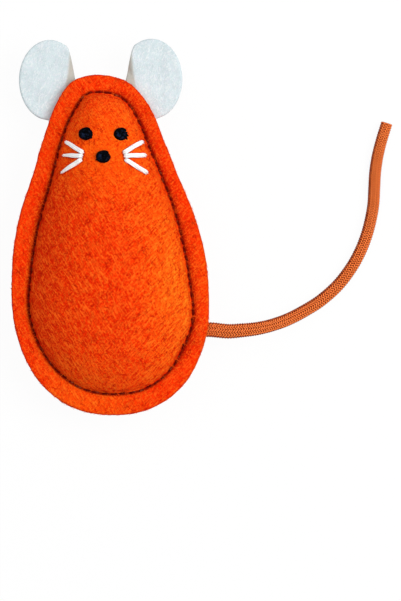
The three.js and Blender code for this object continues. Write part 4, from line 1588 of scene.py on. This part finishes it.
def braid_parts(tail, line, edge):
    """Strands that wind both ways round a core, each over two and under two of the others."""
    steps_a_turn = 46
    whole = distances_along(line)[-1]
    steps = round(whole / tail.lead * steps_a_turn)
    middle = spaced(line, steps)
    along = np.linspace(0, whole, steps)
    _, normals, sides = (part[0] for part in frames(middle[None]))
    carriers, wave = tail.carriers, 0.00024
    half_width, half_height = 0.00023, 0.0002
    radius = tail.diameter / 2 - wave - half_height
    leaves = np.argmax(middle[:, 0] > edge) / steps * whole
    high, wide = cord_shape(tail, along, leaves)
    paths, outward, painted_strand_lights = [], [], []
    flank_painted_light, flank_edge = 0.16, (0.05, 0.8)
    for way, tone in ((1, 1.0), (-1, 0.6)):
        for number in range(carriers):
            turn = way * 2 * math.pi * along / tail.lead + 2 * math.pi * number / carriers
            crossing = way * np.cos(carriers / 2 * turn)
            reach = radius + wave * crossing
            up, aside = np.sin(turn), np.cos(turn)
            direction = normals * (up * high)[:, None] + sides * (aside * wide)[:, None]
            paths.append(middle + direction * reach[:, None])
            outward.append(normals * up[:, None] + sides * aside[:, None])
            # Painted light and shade on the strands: darker down the cord's flanks and where they dive
            # under; the other way's strands are darker
            flank = flank_painted_light + (1 - flank_painted_light) * smooth_step(*flank_edge, up)
            painted_strand_lights.append((0.5 + 0.5 * crossing) * flank * tone)
    strand_sides, core_sides, core_step, underside_painted_light = 5, 16, 4, 0.15
    strands = sweep(np.stack(paths), half_width, half_height, strand_sides, normals=np.stack(outward))
    core_radius = radius - wave
    core_line, core_wide, core_high = (part[::core_step] for part in (middle, wide, high))
    core = sweep(core_line[None], core_radius * core_wide, core_radius * core_high, core_sides)
    # Painted shade on each strand's lower faces, painted light on its top
    section = np.sin(2 * math.pi * np.arange(strand_sides) / strand_sides)
    painted_top_light = underside_painted_light + (1 - underside_painted_light) * np.clip(section, 0, 1) / section.max()
    height = np.concatenate(painted_strand_lights)[:, None] * painted_top_light
    return joined(strands, core), np.concatenate([height.ravel(), np.zeros(len(core[0]))])


class MOUSE_OT_tail(bpy.types.Operator):
    """Braids the tail's cord along its route."""

    bl_idname = "mouse.tail"
    bl_label = "Tail"

    def execute(self, context):
        tail = context.scene.mouse_tail
        line, edge = tail_line(tail)
        parts, height = braid_parts(tail, line, edge)
        made = new_object("braided_tail", cord_finish(tail), *parts)
        paint(made, "strand_height", height)
        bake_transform(made)
        finish_piece(made, "tail_cord", "tail", "tail_root", body=None)
        return {"FINISHED"}


# Filling


def even_copy(node, name, material, voxel):
    """A copy of a node's form with even faces."""
    source = linked(name, frame["nodes"][node].data.copy())
    even = even_mesh(source, voxel)
    source.modifiers.clear()
    source.data = even
    even.materials.clear()
    even.materials.append(material)
    even.shade_smooth()
    return source


def roughen(made, depth, size, seed):
    """Moves a mesh's points in and out along their normals."""
    mesh = made.data
    points = mesh_points(mesh)
    normals = np.empty(len(points) * 3)
    mesh.vertices.foreach_get("normal", normals)
    shift = depth * lumps(points, size, seed)
    mesh.vertices.foreach_set("co", (points + normals.reshape(-1, 3) * shift[:, None]).ravel())
    mesh.update()


def surface_spots(made, count, draw):
    """Random spots on a mesh with the normals there."""
    areas = np.array([face.area for face in made.data.polygons])
    picked = draw.choice(len(areas), count, p=areas / areas.sum())
    faces = [made.data.polygons[int(index)] for index in picked]
    return np.array([face.center for face in faces]), np.array([face.normal for face in faces])


class MOUSE_OT_filling(bpy.types.Operator):
    """Fills the body with tufted fibre and crumbled catnip."""

    bl_idname = "mouse.filling"
    bl_label = "Filling"

    def execute(self, context):
        filling = context.scene.mouse_filling
        fibre = stuffing_finish(filling)
        stuffing = even_copy("fibre_stuffing", "stuffing", fibre, voxel=0.0013)
        roughen(stuffing, depth=0.0004, size=0.006, seed=41)
        finish_piece(stuffing, "fibre", "fibre_stuffing")
        curls = new_object("stuffing_curls", fibre, *self.curls(stuffing, filling.curl_count))
        finish_piece(curls, "fibre")
        leaf = catnip_finish(filling)
        heap = even_copy("catnip_filling", "catnip_heap", leaf, voxel=0.0011)
        roughen(heap, depth=0.0003, size=0.0021, seed=51)
        finish_piece(heap, "catnip", "catnip_filling")
        flakes = new_object("catnip_flakes", leaf, *self.flakes(heap, filling.flake_count))
        finish_piece(flakes, "catnip")
        return {"FINISHED"}

    def curls(self, stuffing, count):
        """Crimped fibres that lie on the stuffing."""
        lengths, most_bend, sunk, radius = (0.004, 0.009), 0.003, 0.00008, 0.00006
        crimp_depth, crimps, phases, steps = 0.0004, 3, (0, 6), 10
        draw = np.random.default_rng(42)
        spots, normals = surface_spots(stuffing, count, draw)
        share = np.linspace(0, 1, steps)[None, :, None]
        heading = unit(np.cross(normals, draw.normal(size=(count, 3))))
        aside = np.cross(normals, heading)
        reach = draw.uniform(*lengths, (count, 1, 1))
        bend = draw.uniform(-most_bend, most_bend, (count, 1, 1))
        crimp = crimp_depth * np.sin(2 * math.pi * crimps * share + draw.uniform(*phases, (count, 1, 1)))
        paths = spots[:, None] + heading[:, None] * reach * (share - 0.5)
        paths = paths + aside[:, None] * (bend * (share - share**2) + crimp)
        paths = paths - normals[:, None] * sunk
        return sweep(paths, radius, radius, sides=3, columns=math.ceil(math.sqrt(count)))

    def flakes(self, heap, count):
        """Curled crumbs of leaf and stalk that lie half sunk in the heap."""
        lengths, half_widths, half_thickness = (0.0008, 0.0024), (0.0002, 0.0007), 0.00008
        most_curl, narrowing, steps = 0.0003, 3.6, 5
        draw = np.random.default_rng(52)
        spots, normals = surface_spots(heap, count, draw)
        share = np.linspace(-0.5, 0.5, steps)[None, :, None]
        heading = unit(np.cross(normals, draw.normal(size=(count, 3))))
        reach = draw.uniform(*lengths, (count, 1, 1))
        curl = draw.uniform(-most_curl, most_curl, (count, 1, 1))
        paths = spots[:, None] + heading[:, None] * reach * share + normals[:, None] * curl * share**2
        taper = np.sqrt(1 - narrowing * share[..., 0] ** 2)
        wide = draw.uniform(*half_widths, (count, 1)) * taper
        upright = np.broadcast_to(normals[:, None], paths.shape)
        columns = math.ceil(math.sqrt(count))
        return sweep(paths, wide, half_thickness, sides=5, columns=columns, normals=upright)


# Stage


def area_lamp(name, place, size, power, target):
    """A round lamp that faces a target."""
    lamp = bpy.data.lights.new(name, "AREA")
    lamp.shape = "DISK"
    lamp.size = size
    lamp.energy = power
    made = linked(name, lamp)
    made.location = place
    made.rotation_euler = (Vector(target) - Vector(place)).to_track_quat("-Z", "Y").to_euler()


def seen_directly(finish):
    """1 for what the camera sees, straight or in a reflection, and 0 for the light that surfaces get."""
    rays = [
        finish.node("ShaderNodeLightPath", output=name)
        for name in ("Is Camera Ray", "Is Glossy Ray", "Is Transmission Ray")
    ]
    return finish.math("MINIMUM", rays[0] + rays[1] + rays[2], 1.0)


def floor_material(rgb):
    """A pale floor that shows nearly white and keeps a soft shadow."""
    finish = Finish(bpy.data.materials.new("floor"))
    finish.tree.nodes.clear()
    white_share = 0.95
    plain = finish.node("ShaderNodeBsdfDiffuse", None, {"Color": opaque(rgb)})
    white = finish.node("ShaderNodeEmission", None, {"Color": (1, 1, 1, 1), "Strength": 1.0})
    share = seen_directly(finish) * white_share
    shown = finish.node("ShaderNodeMixShader", None, {0: share, 1: plain, 2: white})
    finish.show("ShaderNodeOutputMaterial", shown)
    return finish.owner


class MOUSE_OT_stage(bpy.types.Operator):
    """Sets the camera, the lamps, the even light all round and the floor."""

    bl_idname = "mouse.stage"
    bl_label = "Stage"

    def execute(self, context):
        stage = context.scene.mouse_stage
        scene = context.scene
        scene.view_settings.view_transform = "Standard"
        camera = bpy.data.cameras.new("camera")
        camera.lens = stage.lens
        camera.sensor_width = 36
        camera.clip_start = 0.01
        scene.camera = linked("camera", camera)
        scene.camera.location = (stage.camera_x, stage.camera_y, SEAM_LEVEL + stage.camera_rise)
        middle = (0, 0, SEAM_LEVEL)
        area_lamp("key", KEY_PLACE, KEY_SIZE, stage.key_power, middle)
        area_lamp("top", TOP_PLACE, TOP_SIZE, stage.top_power, middle)
        self.light_world(scene, stage)
        self.lay_floor(stage)
        return {"FINISHED"}

    def light_world(self, scene, stage):
        """An even light all round, with a white backdrop where it is seen."""
        scene.world = bpy.data.worlds.new("studio")
        finish = Finish(scene.world)
        finish.tree.nodes.clear()
        white = (1, 1, 1, 1)
        soft = finish.node("ShaderNodeBackground", None, {"Color": white, "Strength": stage.sky})
        backdrop = finish.node("ShaderNodeBackground", None, {"Color": white, "Strength": 1.0})
        shown = finish.node("ShaderNodeMixShader", None, {0: seen_directly(finish), 1: soft, 2: backdrop})
        finish.show("ShaderNodeOutputWorld", shown)

    def lay_floor(self, stage):
        """A plain square just under what the mouse lies on."""
        half, drop = 1.5, 0.00005
        corners = [(x, y, -drop) for x, y in ((-half, -half), (half, -half), (half, half), (-half, half))]
        floor = new_object("floor", floor_material(stage.floor), corners, [(0, 1, 2, 3)])


class MOUSE_PT_sidebar(bpy.types.Panel):
    """Lists the mouse's settings and the buttons that build it."""

    bl_idname = "MOUSE_PT_sidebar"
    bl_label = "Catnip mouse"
    bl_space_type = "VIEW_3D"
    bl_region_type = "UI"
    bl_category = "Mouse"

    def draw(self, context):
        for name, settings in SETTINGS.items():
            box = self.layout.box()
            box.label(text=settings.__doc__)
            for key in settings.__annotations__:
                box.prop(getattr(context.scene, name), key)
        for operator in OPERATORS:
            self.layout.operator(operator.bl_idname)


SETTINGS = {
    "mouse_stage": StageSettings,
    "mouse_tail": TailSettings,
    "mouse_body": BodySettings,
    "mouse_ears": EarSettings,
    "mouse_face": FaceSettings,
    "mouse_filling": FillingSettings,
}
OPERATORS = (
    MOUSE_OT_stage,
    MOUSE_OT_tail,
    MOUSE_OT_panels,
    MOUSE_OT_stitches,
    MOUSE_OT_fibres,
    MOUSE_OT_ears,
    MOUSE_OT_knots,
    MOUSE_OT_whiskers,
    MOUSE_OT_filling,
)


def register():
    for settings in SETTINGS.values():
        bpy.utils.register_class(settings)
    for name, settings in SETTINGS.items():
        setattr(bpy.types.Scene, name, PointerProperty(type=settings))
    for operator in OPERATORS:
        bpy.utils.register_class(operator)
    bpy.utils.register_class(MOUSE_PT_sidebar)


def unregister():
    bpy.utils.unregister_class(MOUSE_PT_sidebar)
    for operator in reversed(OPERATORS):
        bpy.utils.unregister_class(operator)
    for name, settings in SETTINGS.items():
        delattr(bpy.types.Scene, name)
        bpy.utils.unregister_class(settings)


def main():
    register()
    bpy.ops.mouse.stage()
    bpy.ops.mouse.tail()
    bpy.ops.mouse.panels()
    bpy.ops.mouse.stitches()
    bpy.ops.mouse.fibres()
    bpy.ops.mouse.ears()
    bpy.ops.mouse.knots()
    bpy.ops.mouse.whiskers()
    bpy.ops.mouse.filling()


if __name__ == "__main__":
    main()
